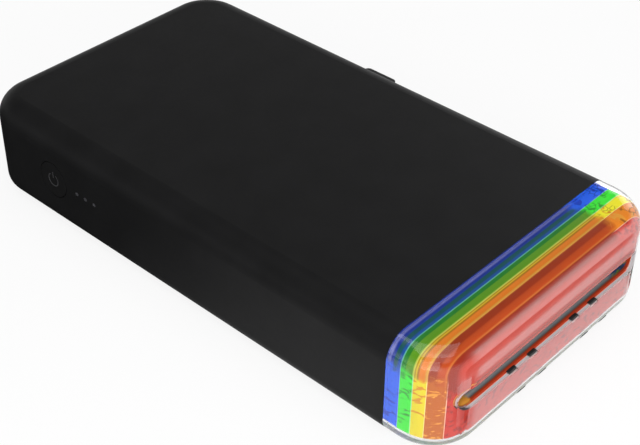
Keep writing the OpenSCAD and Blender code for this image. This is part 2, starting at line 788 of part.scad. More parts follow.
module chassis() {
  color("#3d3f42") difference() {
    union() {
      translate([left_x - plate, chassis_y0, floor_z])
        cube([right_x - left_x + 2 * plate, chassis_y1 - chassis_y0, floor_top - floor_z]);
      side_wall(left_x - plate);
      side_wall(right_x);
      translate([left_x, chassis_y1 - plate, floor_z])
        cube([right_x - left_x, plate, wall_top - 4 - floor_z]);
      for (x = [left_x, right_x - 2.5])
        translate([x, tray_y1 + 1, deck_z - 2]) cube([2.5, chassis_y1 - tray_y1 - 2, 2]);
      for (s = cover_screws) translate([s[0], s[1], base_z + cover_t]) cylinder(d = 4.4, h = 1);
      for (x = charging_lugs) translate([x - 1.6, chassis_y1, charging_z - 2]) cube([3.2, 4, 2]);
      for (at = side_bosses) rod(side_board_x + board_t, left_x - plate, at, 1.6);
    }
    journal_bores(left_x - plate);
    journal_bores(right_x);
    rod(left_x - plate - 1, left_x + 1, take_up_at, hub_r + run_gap);
    rod(left_x - plate - 1, left_x + 1, supply_at, hub_r + run_gap);
    rod(left_x - plate - 1, left_x + 1, pick_at, journal_d / 2 + run_gap);
    rod(left_x - plate - 1, left_x + 1, feed_at, 2.2);
    for (at = post_places) rod(left_x - plate - 1, left_x + 1, at, post_r);
    bay_window(right_x - 1, right_x + plate + 1);
    floor_window(left_x + 1, right_x - 1, platen_at[0] - roller_r - 1, roller_d + 2);
    floor_window(left_x + 6, right_x - 6, capstan_at[0] - roller_r - 1, roller_d + 2);
    for (i = [0 : 2])
      floor_window(left_x + 10.5, right_x - 11, tray_y0 + 12 + i * window_pitch, window_pitch - 8);
    translate([-socket_w / 2 - 1, chassis_y1 - plate - 1, charging_z - 1])
      cube([socket_w + 2, plate + 2, socket_h + 3]);
    for (s = cover_screws) translate([s[0], s[1], floor_z - 2]) cylinder(d = screw_d, h = 5);
    for (x = charging_lugs) translate([x, chassis_y1 + 2, charging_z - 1.6]) cylinder(d = screw_d, h = 3);
    for (at = side_bosses) rod(side_board_x, left_x - plate + 1, at, 0.5);
  }
}

// Opening in the chassis floor
module floor_window(x0, x1, y0, length) {
  translate([x0, y0, floor_z - 1]) cube([x1 - x0, length, floor_top - floor_z + 2]);
}

// Way for the cartridge through the right wall: tray below, two spool chambers and the head gap above
module bay_window(x0, x1) {
  side = 0.5;
  yz_plate(x0, x1, [
    [take_up_at[0] - chamber_r - side, chamber_z - chamber_r - side],
    [print_y + 1, chamber_z - chamber_r - side], [tray_y0 - side, tray_top + 0.5],
    [tray_y0 - side, tray_z0 - 0.1], [tray_y1 + side, tray_z0 - 0.1], [tray_y1 + side, tray_top + 0.4],
    [supply_at[0] + chamber_r + side, tray_top + 0.4],
    [supply_at[0] + chamber_r + side, chamber_z + chamber_r + 0.4],
    [take_up_at[0] - chamber_r - side, chamber_z + chamber_r + 0.4]
  ]);
}

// Sheet-metal deck over the paper tray, which carries the battery and the boards
module bay_deck() {
  color("#9da1a6") {
    difference() {
      translate([left_x + seam, deck_y0, deck_z])
        cube([right_x - left_x - 2 * seam, deck_y1 - deck_y0, deck_t]);
      translate([-9, deck_y0 - 1, deck_z - 1]) cube([18, 14, deck_t + 2]);
    }
    for (s = board_screws) translate([s[0], s[1], deck_z + deck_t]) difference() {
      cylinder(d = 3.4, h = board_z - deck_z - deck_t);
      translate([0, 0, board_z - deck_z - deck_t - 5]) cylinder(d = screw_d, h = 6);
    }
  }
}

// Cross plate over the rollers that ties the two chassis walls, with a bent front lip
module tie_plate() {
  y0 = capstan_at[0] - 3.5;
  color("#9da1a6") {
    translate([left_x - plate, y0, wall_top]) cube([right_x - left_x + 2 * plate, 10, tie_t]);
    for (y = [y0, y0 + 10 - tie_t])
      translate([left_x + 1, y, wall_top - 1.6]) cube([right_x - left_x - 2, tie_t, 2]);
    for (x = [left_x, right_x - tie_t])
      translate([x, y0 + 2, wall_top - 3]) cube([tie_t, 6, 3.2]);
  }
}

// Machine screw with its head's underside at z, pointing down
module screw_down(at, z, length) {
  translate([at[0], at[1], z - length]) cylinder(d = screw_d, h = length);
  translate([at[0], at[1], z]) cylinder(d = 1.8 * screw_d, h = 0.6);
}

module screws() {
  color("#d0d2d4") {
    for (s = cover_screws) translate([s[0], s[1], 0]) {
      translate([0, 0, base_z + 0.2]) cylinder(d = 3, h = 0.7);
      translate([0, 0, base_z + 0.9]) cylinder(d = screw_d, h = 2.2);
    }
    for (s = board_screws) screw_down(s, board_z + board_t, 4);
    for (s = charging_lugs) screw_down([s, chassis_y1 + 2], charging_z + board_t, 2.6);
  }
}

// Cartridge case: paper tray, two spool chambers and the end frame that joins them
module cartridge_case() {
  color("#2e3033") {
    difference() {
      translate([case_x0, tray_y0, tray_z0]) cube([case_x1 - case_x0, case_len, tray_top - tray_z0]);
      translate([-sheet_w / 2 - 0.5, tray_y0 + case_t, tray_z0 + case_t])
        cube([sheet_w + 1, case_len - 2 * case_t, 20]);
      translate([-sheet_w / 2 - 0.5, tray_y0 - 1, tray_z0 + case_t + 1.4]) cube([sheet_w + 1, 3, 20]);
    }
    chamber(take_up_at, 1);
    chamber(supply_at, -1);
    yz_plate(case_x1 - end_t, case_x1, [
      [take_up_at[0] - 2, chamber_z - chamber_r + 0.6], [print_y, chamber_z - chamber_r - 0.2],
      [tray_y0 + 3, tray_top - 0.5], [supply_at[0] + chamber_r - 0.6, tray_top - 0.5],
      [supply_at[0] + chamber_r - 1.2, chamber_z], [supply_at[0], chamber_top - 0.8],
      [take_up_at[0], chamber_top - 0.8]
    ]);
    for (at = [take_up_at, supply_at]) rod(case_x1 - end_t - 2, case_x1 - end_t, at, 1);
    for (x = [case_x0, case_x1 - 2]) translate([x, supply_at[0] - 1, tray_top - 1])
      cube([2, chamber_r - 0.4, chamber_z - chamber_r - tray_top + 1.6]);
  }
}

// Half-open round chamber for a spool, its mouth towards the print line
module chamber(at, side) {
  difference() {
    rod(case_x0, case_x1, at, chamber_r);
    rod(case_x0 + case_t, case_x1 - end_t, at, chamber_r - case_t);
    rod(case_x0 - 1, case_x0 + 2, at, 2.6);
    translate([case_x0 + case_t, side > 0 ? at[0] : at[0] - chamber_r - 1, at[1] - chamber_r - 1])
      cube([case_x1 - end_t - case_x0 - case_t, chamber_r + 1, chamber_r + 1]);
  }
}

module paper_stack() {
  color("#f4f4f1") translate([-sheet_w / 2, tray_y0 + case_t + 0.5, tray_z0 + case_t])
    cube([sheet_w, sheet_len, stack_t]);
}

// Film roll on its core, with a socket for the hub at the left end and a stub at the right
module spool(at, film_r) {
  difference() {
    union() {
      rod(case_x0 + case_t + free_gap, case_x1 - end_t - free_gap, at, core_r);
      rod(-sheet_w / 2 - 0.5, sheet_w / 2 + 0.5, at, film_r);
    }
    rod(case_x0, case_x0 + 4.5, at, hub_r);
    rod(case_x1 - 3.9, case_x1, at, 1 + run_gap);
  }
}

module supply_spool() {
  color("#c9a227") spool(supply_at, supply_r);
}

module take_up_spool() {
  color("#a03070") spool(take_up_at, take_up_r);
}

// Film drawn from the supply spool, under the head and up to the take-up spool
module ribbon() {
  low = path_z + 0.1;
  y0 = take_up_at[0] + take_up_r + 0.35;
  y1 = supply_at[0] - supply_r - 0.35;
  color("#b8336a", 0.8) yz_plate(-sheet_w / 2, sheet_w / 2, [
    [y1, chamber_z], [y1 - ribbon_t, chamber_z],
    [print_y + 2.6, low + ribbon_t], [print_y - 2.6, low + ribbon_t],
    [y0 + ribbon_t, chamber_z], [y0, chamber_z],
    [print_y - 2.7, low], [print_y + 2.7, low]
  ]);
}

// Roller with journals at both ends
module roller(at, left_end, right_end) {
  rod(-roller_len / 2, roller_len / 2, at, roller_r);
  rod(left_end, right_end, at, journal_d / 2);
}

module platen_roller() {
  color("#2f2f33") roller(platen_at, left_x - plate - 0.2, right_x + plate + 0.2);
}

module capstan_roller() {
  color("#b4b7bb") roller(capstan_at, inner_layer_x - 0.6, right_x + plate + 0.2);
}

module pinch_roller() {
  color("#2f2f33") roller(pinch_at, left_x - plate - 0.2, right_x + plate + 0.2);
}

// Place of a bush's flange from the outer face of its wall, inside the chassis on both sides
function side_flange(side) = side == 0 ? plate : -bush_flange;

// Flanged bushes of the rollers, pressed into the chassis walls
module shaft_bushes() {
  color("#c9a46a") for (at = [platen_at, capstan_at, pinch_at], side = [0, 1]) {
    x = side == 0 ? left_x - plate : right_x;
    difference() {
      union() {
        rod(x, x + plate, at, journal_d / 2 + 1);
        rod(x + side_flange(side), x + side_flange(side) + bush_flange, at, journal_d / 2 + 1.3);
      }
      rod(x - 1, x + plate + 1, at, journal_d / 2 + run_gap);
    }
  }
}

module gear_posts() {
  color("#b4b7bb") {
    rod(outer_layer_x - 0.4, left_x, two_step_at, post_r);
    for (at = [reduction_at, idler_at, link_at]) rod(inner_layer_x - 0.5, left_x, at, post_r);
  }
}

// Gear with a bore that runs on a post
module post_gear(x0, at, n, phase) {
  difference() {
    spur(x0, at, n, phase);
    rod(x0 - 1, x0 + gear_t + 1, at, post_r + run_gap);
    if (n > 24) web_holes(x0, at, n);
  }
}

// Round openings in the web of a large gear
module web_holes(x0, at, n) {
  ring = (pitch_r(n) - 1.2 * gear_m + 1.6) / 2;
  for (i = [0 : 4]) rod(x0 - 1, x0 + gear_t + 1, at_angle(at, ring, i * 72), ring * 0.32);
}

module two_step_gear() {
  color("#e8e4d8") difference() {
    union() {
      spur(outer_layer_x, two_step_at, step_big_n, two_step_phase);
      spur(outer_layer_x + gear_t, two_step_at, step_small_n, two_step_phase, 0.3 + gear_t);
    }
    rod(outer_layer_x - 1, left_x, two_step_at, post_r + run_gap);
  }
}

module reduction_gear() {
  color("#e8e4d8") post_gear(inner_layer_x, reduction_at, reduction_n, reduction_phase);
}

module idler_gear() {
  color("#e8e4d8") post_gear(inner_layer_x, idler_at, idler_n, idler_phase);
}

module take_up_gear() {
  color("#dcd6c4") difference() {
    spur(inner_layer_x, take_up_at, take_up_n, take_up_phase);
    rod(inner_layer_x - 1, left_x, take_up_at, 1 + run_gap);
  }
}

module link_gear() {
  color("#e8e4d8") post_gear(inner_layer_x, link_at, link_n, link_phase);
}

module capstan_gear() {
  color("#dcd6c4") difference() {
    spur(inner_layer_x, capstan_at, capstan_n, capstan_phase);
    rod(inner_layer_x - 1, left_x, capstan_at, journal_d / 2);
  }
}

module feed_motor() {
  color("#8d9196") difference() {
    union() {
      rod(left_x, left_x + 15, feed_at, feed_r);
      rod(left_x + 15, left_x + 16.5, feed_at, 2);
      rod(left_x - plate, left_x, feed_at, 2);
    }
    rod(left_x - plate - 1, left_x + 10, feed_at, 0.5 + run_gap);
  }
}

module feed_pinion() {
  color("#c9a46a") {
    spur(outer_layer_x, feed_at, pinion_n, feed_phase);
    rod(outer_layer_x + gear_t, left_x + 8, feed_at, 0.5);
  }
}

module cam_motor() {
  color("#8d9196") difference() {
    union() {
      rod(cam_gear_x - 15.1, cam_gear_x - 3.1, cam_motor_at, 3.9);
      rod(cam_gear_x - 3.1, cam_gear_x - 2.3, cam_motor_at, 1.5);
    }
    rod(cam_gear_x - 13.6, cam_gear_x, cam_motor_at, 0.4 + run_gap);
  }
}

module cam_pinion() {
  color("#c9a46a") {
    spur(cam_gear_x, cam_motor_at, pinion_n, 0);
    rod(cam_gear_x - 11.6, cam_gear_x, cam_motor_at, 0.4);
  }
}

// Cam shaft with its gear and the two cams under the head arm
module cam_shaft() {
  color("#b4b7bb") {
    rod(left_x - plate, right_x + plate, cam_at, journal_d / 2);
    spur(cam_gear_x, cam_at, cam_n, cam_phase);
    for (x = [arm_x0 - 0.2, arm_x1 - 1.8]) rod(x, x + cam_w, cam_at - [0, cam_throw], cam_r);
  }
}

// Bent sheet arm over the supply chamber, with two ears on the pivot and a tail over each cam
module head_arm() {
  z = arm_z;
  tail = cam_at[1] + cam_r - cam_throw + 0.25;
  color("#a7abb0") {
    translate([arm_x0, print_y - 3.6, z]) cube([arm_x1 - arm_x0, pivot_at[0] - print_y + 6.6, arm_t]);
    for (x = [arm_x0, arm_x1 - ear_t]) difference() {
      yz_plate(x, x + ear_t, [
        [pivot_at[0] - 3, z + arm_t], [pivot_at[0] + 3, z + arm_t], [pivot_at[0] + 3.4, tail + 2.6],
        [cam_at[0] + 1.6, tail + 2], [cam_at[0] + 1.6, tail], [pivot_at[0] + 3.6, tail],
        [pivot_at[0] + 1.2, pivot_at[1] - 2.6], [pivot_at[0] - 2.4, pivot_at[1] - 2]
      ]);
      rod(x - 1, x + ear_t + 1, pivot_at, pivot_d / 2 + run_gap);
    }
  }
}

// Ceramic head on its finned aluminium block
module thermal_head() {
  low = path_z + 1.5;
  head_t = 1.2;
  mid = print_y - 0.25;
  fin_pitch = sheet_w / 9;
  color("#c9ccd0") difference() {
    union() {
      translate([-sheet_w / 2, mid - 2.2, low + head_t]) cube([sheet_w, 4.4, arm_z - low - head_t]);
      translate([-sheet_w / 2, mid - 1.6, low]) cube([sheet_w, 3.2, head_t]);
    }
    for (i = [-4 : 4], y = [mid - 3, mid + 1.2])
      translate([i * fin_pitch - 1.2, y, arm_z - 5]) cube([2.4, 1.8, 4]);
  }
}

module head_pivot() {
  color("#c8c8ca") rod(left_x - plate, right_x + plate, pivot_at, pivot_d / 2);
}

// Torsion springs closely wound on the pivot shaft, each with a leg under the arm
module return_springs() {
  color("#9fa3a8") for (x = [arm_x0 + 3.4, arm_x1 - 7.4]) difference() {
    union() {
      rod(x, x + 4, pivot_at, pivot_d / 2 + 0.6);
      translate([x, pivot_at[0] - 0.3, pivot_at[1]]) cube([0.5, 0.6, arm_z - 0.2 - pivot_at[1]]);
    }
    rod(x - 1, x + 5, pivot_at, pivot_d / 2 + run_gap);
  }
}

// Brake hub that the supply spool sits on, carried in the left wall
module supply_hub() {
  color("#d9d3c0") {
    rod(left_x - plate, case_x0 + 4, supply_at, hub_r);
    rod(left_x - plate - 0.35, left_x - plate, supply_at, hub_r + 0.8);
  }
}

// Drive hub of the take-up spool, with the stub that the take-up gear slips on
module take_up_hub() {
  color("#d9d3c0") {
    rod(left_x - plate, case_x0 + 4, take_up_at, hub_r);
    rod(inner_layer_x - 0.8, left_x - plate, take_up_at, 1);
    rod(inner_layer_x - 1.1, inner_layer_x - 0.8, take_up_at, 2);
  }
}

// Felt ring between the take-up gear and its hub's flange, so that the spool can slip
module clutch_felt() {
  color("#7c3f3f") difference() {
    rod(inner_layer_x - 0.8, inner_layer_x - 0.1, take_up_at, 2.6);
    rod(inner_layer_x - 1, left_x, take_up_at, 1 + run_gap);
  }
}

module pick_shaft() {
  color("#b4b7bb") {
    rod(outer_layer_x, 5, pick_at, journal_d / 2);
    spur(outer_layer_x, pick_at, pick_n, pick_phase);
    rod(pulley_x, pulley_x + pulley_w, pick_at, pulley_r);
  }
}

// Arm of the pick roller: two cheeks joined by a cross bar
module pick_arm() {
  cheek = 1.6;
  color("#46484c") difference() {
    for (x = [-5, 3.4]) {
      rod(x, x + cheek, pick_at, 2.8);
      rod(x, x + cheek, pick_roller_at, 1.9);
      translate([x, pick_at[0], pick_at[1]]) rotate([pick_drop, 0, 0])
        translate([0, -pick_arm_len, -1.4]) cube([cheek, pick_arm_len, 2.8]);
    }
    rod(-8, 8, pick_at, journal_d / 2 + run_gap);
    rod(-8, 8, pick_roller_at, 1 + run_gap);
  }
}

module pick_roller() {
  color("#2f2f33") {
    rod(-5.2, 5.2, pick_roller_at, 1);
    rod(pulley_x, pulley_x + pulley_w, pick_roller_at, pulley_r);
    rod(pulley_x + pulley_w + 0.3, 3.1, pick_roller_at, pick_d / 2);
  }
}

module pick_belt() {
  color("#1e1e20") translate([pulley_x, pick_at[0], pick_at[1]]) rotate([pick_drop, 0, 0]) difference() {
    union() {
      rod(0, pulley_w, [0, 0], pulley_r + belt_t);
      rod(0, pulley_w, [-pick_arm_len, 0], pulley_r + belt_t);
      translate([0, -pick_arm_len, -pulley_r - belt_t])
        cube([pulley_w, pick_arm_len, 2 * (pulley_r + belt_t)]);
    }
    rod(-1, 3, [0, 0], pulley_r + run_gap);
    rod(-1, 3, [-pick_arm_len, 0], pulley_r + run_gap);
    translate([-1, -pick_arm_len, -pulley_r - run_gap])
      cube([4, pick_arm_len, 2 * (pulley_r + run_gap)]);
  }
}

outer_shell();
bottom_cover();
foot_ring();
clear_nose();
blue_plate();
green_plate();
yellow_plate();
orange_plate();
red_plate();
front_bulkhead();
exit_guide();
cartridge_door();
pull_tab();
hinge_pins();
door_catch();
door_magnet();
power_button();
light_pipes();
side_board();
main_board();
battery();
charging_board();
charging_socket();
head_cable();
chassis();
bay_deck();
tie_plate();
screws();
cartridge_case();
paper_stack();
supply_spool();
take_up_spool();
ribbon();
platen_roller();
capstan_roller();
pinch_roller();
shaft_bushes();
gear_posts();
head_arm();
thermal_head();
head_pivot();
return_springs();
cam_shaft();
cam_motor();
cam_pinion();
feed_motor();
feed_pinion();
two_step_gear();
reduction_gear();
idler_gear();
take_up_gear();
link_gear();
capstan_gear();
supply_hub();
take_up_hub();
clutch_felt();
pick_shaft();
pick_arm();
pick_roller();
pick_belt();
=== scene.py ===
import json
import math

import bmesh
import bpy
from mathutils import Matrix, Vector

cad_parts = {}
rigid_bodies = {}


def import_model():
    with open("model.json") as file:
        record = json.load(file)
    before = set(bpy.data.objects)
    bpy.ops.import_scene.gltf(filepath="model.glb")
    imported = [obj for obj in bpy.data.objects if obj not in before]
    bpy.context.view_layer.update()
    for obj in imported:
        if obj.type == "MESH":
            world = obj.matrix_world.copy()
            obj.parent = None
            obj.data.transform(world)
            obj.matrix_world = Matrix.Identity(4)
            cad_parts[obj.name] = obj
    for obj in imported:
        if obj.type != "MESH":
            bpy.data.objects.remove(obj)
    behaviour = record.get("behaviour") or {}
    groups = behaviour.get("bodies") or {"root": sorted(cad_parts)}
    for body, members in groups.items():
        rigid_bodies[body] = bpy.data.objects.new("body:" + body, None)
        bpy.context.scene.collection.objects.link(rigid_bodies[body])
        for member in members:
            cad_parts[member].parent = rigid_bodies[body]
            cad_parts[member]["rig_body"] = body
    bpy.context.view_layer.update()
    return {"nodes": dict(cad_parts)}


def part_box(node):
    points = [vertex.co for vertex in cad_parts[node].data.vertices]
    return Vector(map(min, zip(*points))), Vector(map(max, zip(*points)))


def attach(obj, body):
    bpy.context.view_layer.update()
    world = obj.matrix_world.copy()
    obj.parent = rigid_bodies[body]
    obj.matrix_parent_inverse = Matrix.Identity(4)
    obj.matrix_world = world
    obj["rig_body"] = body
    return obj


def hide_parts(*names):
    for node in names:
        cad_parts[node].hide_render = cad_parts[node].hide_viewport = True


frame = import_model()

NODES = frame["nodes"]
bpy.ops.object.select_all(action="DESELECT")

MM = 0.001


def paint(red, green, blue):
    """Colour from its display values, 0 to 255, as the shader's linear numbers."""
    def linear(v):
        v /= 255
        return v / 12.92 if v <= 0.04045 else ((v + 0.055) / 1.055) ** 2.4
    return (linear(red), linear(green), linear(blue), 1.0)


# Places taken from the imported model
RIM_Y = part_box("outer_shell")[0].y
NOSE_LO, NOSE_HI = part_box("clear_nose")
CHUTE_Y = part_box("front_bulkhead")[0].y
BUTTON_LO, BUTTON_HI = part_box("power_button")

# The exit slot: its middle and half height, and where its round ends start
SLOT_Z, SLOT_R, SLOT_STRAIGHT = 14.05 * MM, 2.8 * MM, 30.6 * MM
# The nose's upright corners: radius, and where they start to each side
CORNER_R = 11.8 * MM
CORNER_X = NOSE_HI.x - CORNER_R
# The nose's bottom edge radius, and the walls of its front and of the rest
BOTTOM_R, FRONT_WALL, WALL = 3.7 * MM, 1.9 * MM, 2 * MM

# The plates' painted light, bright ends and low sides where light shines through them: where each one
# starts and where it is full
RIGHT_PAINTED_GLOW = (22.5 * MM, 26.5 * MM)
LEFT_PAINTED_GLOW, LEFT_PAINTED_GLOW_TOP = (-33 * MM, -35.5 * MM), (21.5 * MM, 19 * MM)
LOW_PAINTED_GLOW = (17 * MM, 15 * MM)
# Width of the thin painted highlight along each plate's front edge, in mm
EDGE_START, EDGE_FULL = 0.14, 0.06

CLEAR_IOR = 1.49


class Finish:
    """One procedural material: a shader and the nodes that drive it."""

    def __init__(self, name, color, roughness, **plain):
        self.material = bpy.data.materials.new(name)
        self.material.use_nodes = True
        self.tree = self.material.node_tree
        self.shader = self.tree.nodes["Principled BSDF"]
        self.shader.inputs["Base Color"].default_value = color
        self.shader.inputs["Roughness"].default_value = roughness
        for key, value in plain.items():
            self.shader.inputs[key.replace("_", " ")].default_value = value
        self.place = self.tree.nodes.new("ShaderNodeTexCoord").outputs["Object"]
        self.normal = None

    def node(self, kind, **values):
        made = self.tree.nodes.new("ShaderNode" + kind)
        for key, value in values.items():
            setattr(made, key, value)
        return made

    def link(self, source, target):
        self.tree.links.new(source, target)

    def stretched(self, scale, turn=(0, 0, 0)):
        """Object coordinates, turned and stretched."""
        moved = self.node("Mapping")
        moved.inputs["Scale"].default_value = scale
        moved.inputs["Rotation"].default_value = turn
        self.link(self.place, moved.inputs["Vector"])
        return moved.outputs["Vector"]

    def noise(self, size, detail=3.0, at=None, warp=0.0):
        """Soft noise whose features are about size metres across."""
        made = self.node("TexNoise")
        made.inputs["Scale"].default_value = 1 / size
        made.inputs["Detail"].default_value = detail
        made.inputs["Distortion"].default_value = warp
        self.link(at or self.place, made.inputs["Vector"])
        return made.outputs["Fac"]

    def cells(self, size, at=None, feature="F1"):
        made = self.node("TexVoronoi", feature=feature)
        made.inputs["Scale"].default_value = 1 / size
        self.link(at or self.place, made.inputs["Vector"])
        return made.outputs["Distance"]

    def lines(self, size, direction="X", warp=0.0, at=None):
        """Bands across one axis, size metres from one to the next."""
        made = self.node("TexWave", bands_direction=direction)
        made.inputs["Scale"].default_value = math.pi / 10 / size
        made.inputs["Distortion"].default_value = warp
        self.link(at or self.place, made.inputs["Vector"])
        return made.outputs["Fac"]

    def axis(self, letter):
        split = self.node("SeparateXYZ")
        self.link(self.place, split.inputs["Vector"])
        return split.outputs[letter]

    def math(self, kind, first, second=None):
        made = self.node("Math", operation=kind)
        for socket, value in zip(made.inputs, (first, second)):
            if isinstance(value, (int, float)):
                socket.default_value = value
            elif value is not None:
                self.link(value, socket)
        return made.outputs[0]

    def scaled(self, value, low, high, to_low=0.0, to_high=1.0, smooth=False):
        """value from low..high to to_low..to_high, held at the ends."""
        made = self.node("MapRange")
        if smooth:
            made.interpolation_type = "SMOOTHSTEP"
        made.inputs["From Min"].default_value = low
        made.inputs["From Max"].default_value = high
        made.inputs["To Min"].default_value = to_low
        made.inputs["To Max"].default_value = to_high
        self.link(value, made.inputs["Value"])
        return made.outputs["Result"]

    def tones(self, value, stops):
        """Colours along a value: stops are (position, colour)."""
        made = self.node("ValToRGB")
        ramp = made.color_ramp
        while len(ramp.elements) < len(stops):
            ramp.elements.new(0.5)
        stops = sorted(stops, key=lambda stop: stop[0])
        for element, (position, _) in zip(ramp.elements, stops):
            element.position = position
        for element, (_, color) in zip(ramp.elements, stops):
            element.color = color
        self.link(value, made.inputs["Fac"])
        return made.outputs["Color"]

    def mixed(self, share, first, second):
        """first where share is 0, second where it is 1; each is a colour or a socket."""
        made = self.node("Mix", data_type="RGBA")
        sockets = (made.inputs[0], made.inputs[6], made.inputs[7])
        for socket, value in zip(sockets, (share, first, second)):
            if isinstance(value, (tuple, float, int)):
                socket.default_value = value
            else:
                self.link(value, socket)
        return made.outputs[2]

    def color(self, source):
        self.link(source, self.shader.inputs["Base Color"])

    def gloss(self, value, low, high):
        """Roughness from low to high as value goes from 0 to 1."""
        self.link(self.scaled(value, 0, 1, low, high), self.shader.inputs["Roughness"])

    def relief(self, height, depth, strength=1.0):
        """Raised and sunk detail, depth metres from lowest to highest."""
        bump = self.node("Bump")
        bump.inputs["Distance"].default_value = depth
        bump.inputs["Strength"].default_value = strength
        self.link(height, bump.inputs["Height"])
        if self.normal:
            self.link(self.normal, bump.inputs["Normal"])
        self.normal = bump.outputs["Normal"]
        self.link(self.normal, self.shader.inputs["Normal"])

    def let_lamps_through(self):
        """Clear pieces cast no dark shadow on what they cover."""
        out = self.tree.nodes["Material Output"]
        path = self.node("LightPath")
        clear = self.node("BsdfTransparent")
        join = self.node("MixShader")
        self.link(path.outputs["Is Shadow Ray"], join.inputs[0])
        self.link(self.shader.outputs[0], join.inputs[1])
        self.link(clear.outputs[0], join.inputs[2])
        self.link(join.outputs[0], out.inputs["Surface"])

    def give(self, *names):
        for name in names:
            for slot in NODES[name].material_slots:
                slot.material = self.material


def moulded(name, color, roughness, grain=0.25 * MM, depth=0.012 * MM, shine=0.3, tone=0.12):
    """Moulded plastic with a fine spark-eroded grain and slightly uneven gloss."""
    made = Finish(name, color, roughness, Specular_IOR_Level=shine)
    clouds = made.noise(9 * MM, 4)
    dark = tuple(c * (1 - tone) for c in color[:3]) + (1,)
    light = tuple(min(1, c * (1 + tone)) for c in color[:3]) + (1,)
    made.color(made.tones(clouds, [(0.3, dark), (0.7, light)]))
    made.gloss(made.noise(1.6 * MM, 5), roughness - 0.05, roughness + 0.07)
    made.relief(made.noise(grain, 2), depth)
    return made


def metal(name, color, roughness, stretch, grain=0.2 * MM, depth=0.004 * MM):
    """Bare metal with drawn, rolled or turned marks along one way."""
    made = Finish(name, color, roughness, Metallic=1.0)
    marks = made.noise(grain, 4, at=made.stretched(stretch))
    stain = made.noise(6 * MM, 3)
    dark = tuple(c * 0.86 for c in color[:3]) + (1,)
    made.color(made.mixed(made.scaled(stain, 0.35, 0.7), color, dark))
    made.gloss(marks, roughness - 0.06, roughness + 0.12)
    made.relief(marks, depth)
    return made


# Casing
casing_black = moulded("casing_black", paint(22, 22, 22.5), 0.46, shine=0.09)
casing_black.give("outer_shell", "cartridge_door", "power_button")
cover_black = moulded("cover_black", paint(30, 30, 31), 0.55, grain=0.4 * MM, depth=0.02 * MM)
cover_black.give("bottom_cover")
tab_black = moulded("tab_black", paint(24, 24, 25), 0.38, grain=0.2 * MM, shine=0.4)
tab_black.give("pull_tab")
inner_black = moulded("inner_black", paint(26, 26, 28), 0.45, grain=0.3 * MM)
inner_black.give("front_bulkhead", "exit_guide", "cartridge_case")
chassis_grey = moulded("chassis_grey", paint(66, 67, 70), 0.5, grain=0.3 * MM, tone=0.06)
chassis_grey.give("chassis", "pick_arm")

foot_rubber = Finish("foot_rubber", paint(38, 38, 38), 0.8, Specular_IOR_Level=0.3)
foot_rubber.color(foot_rubber.tones(foot_rubber.noise(2.5 * MM, 5),
                                    [(0.3, paint(30, 30, 30)), (0.75, paint(48, 47, 46))]))
foot_rubber.gloss(foot_rubber.noise(0.8 * MM, 4), 0.7, 0.92)
foot_rubber.relief(foot_rubber.cells(0.35 * MM), 0.02 * MM)
foot_rubber.give("foot_ring", "pick_belt")

# Clear nose: smooth clear plastic with the slightest flow marks, frosted along its lowest edge
nose_clear = Finish("nose_clear", (1, 1, 1, 1), 0.02, IOR=CLEAR_IOR, Transmission_Weight=1.0)
polished = nose_clear.scaled(nose_clear.noise(7 * MM, 4), 0, 1, 0, 0.05)
frosted = nose_clear.scaled(nose_clear.axis("Z"), 2.6 * MM, 1.9 * MM, 0, 0.5)
nose_clear.link(nose_clear.math("ADD", polished, frosted), nose_clear.shader.inputs["Roughness"])
nose_clear.relief(nose_clear.noise(5 * MM, 2), 0.01 * MM, 0.6)
nose_clear.let_lamps_through()

# Light pipes: smoked plastic, dark while the lights are off
light_smoked = Finish("light_smoked", paint(62, 62, 65), 0.2, Specular_IOR_Level=0.3)
clouded = light_smoked.noise(0.4 * MM, 2)
light_smoked.color(light_smoked.tones(clouded, [(0.3, paint(50, 50, 53)), (0.7, paint(72, 72, 75))]))
light_smoked.gloss(clouded, 0.16, 0.3)
light_smoked.relief(clouded, 0.01 * MM)
light_smoked.give("light_pipes")


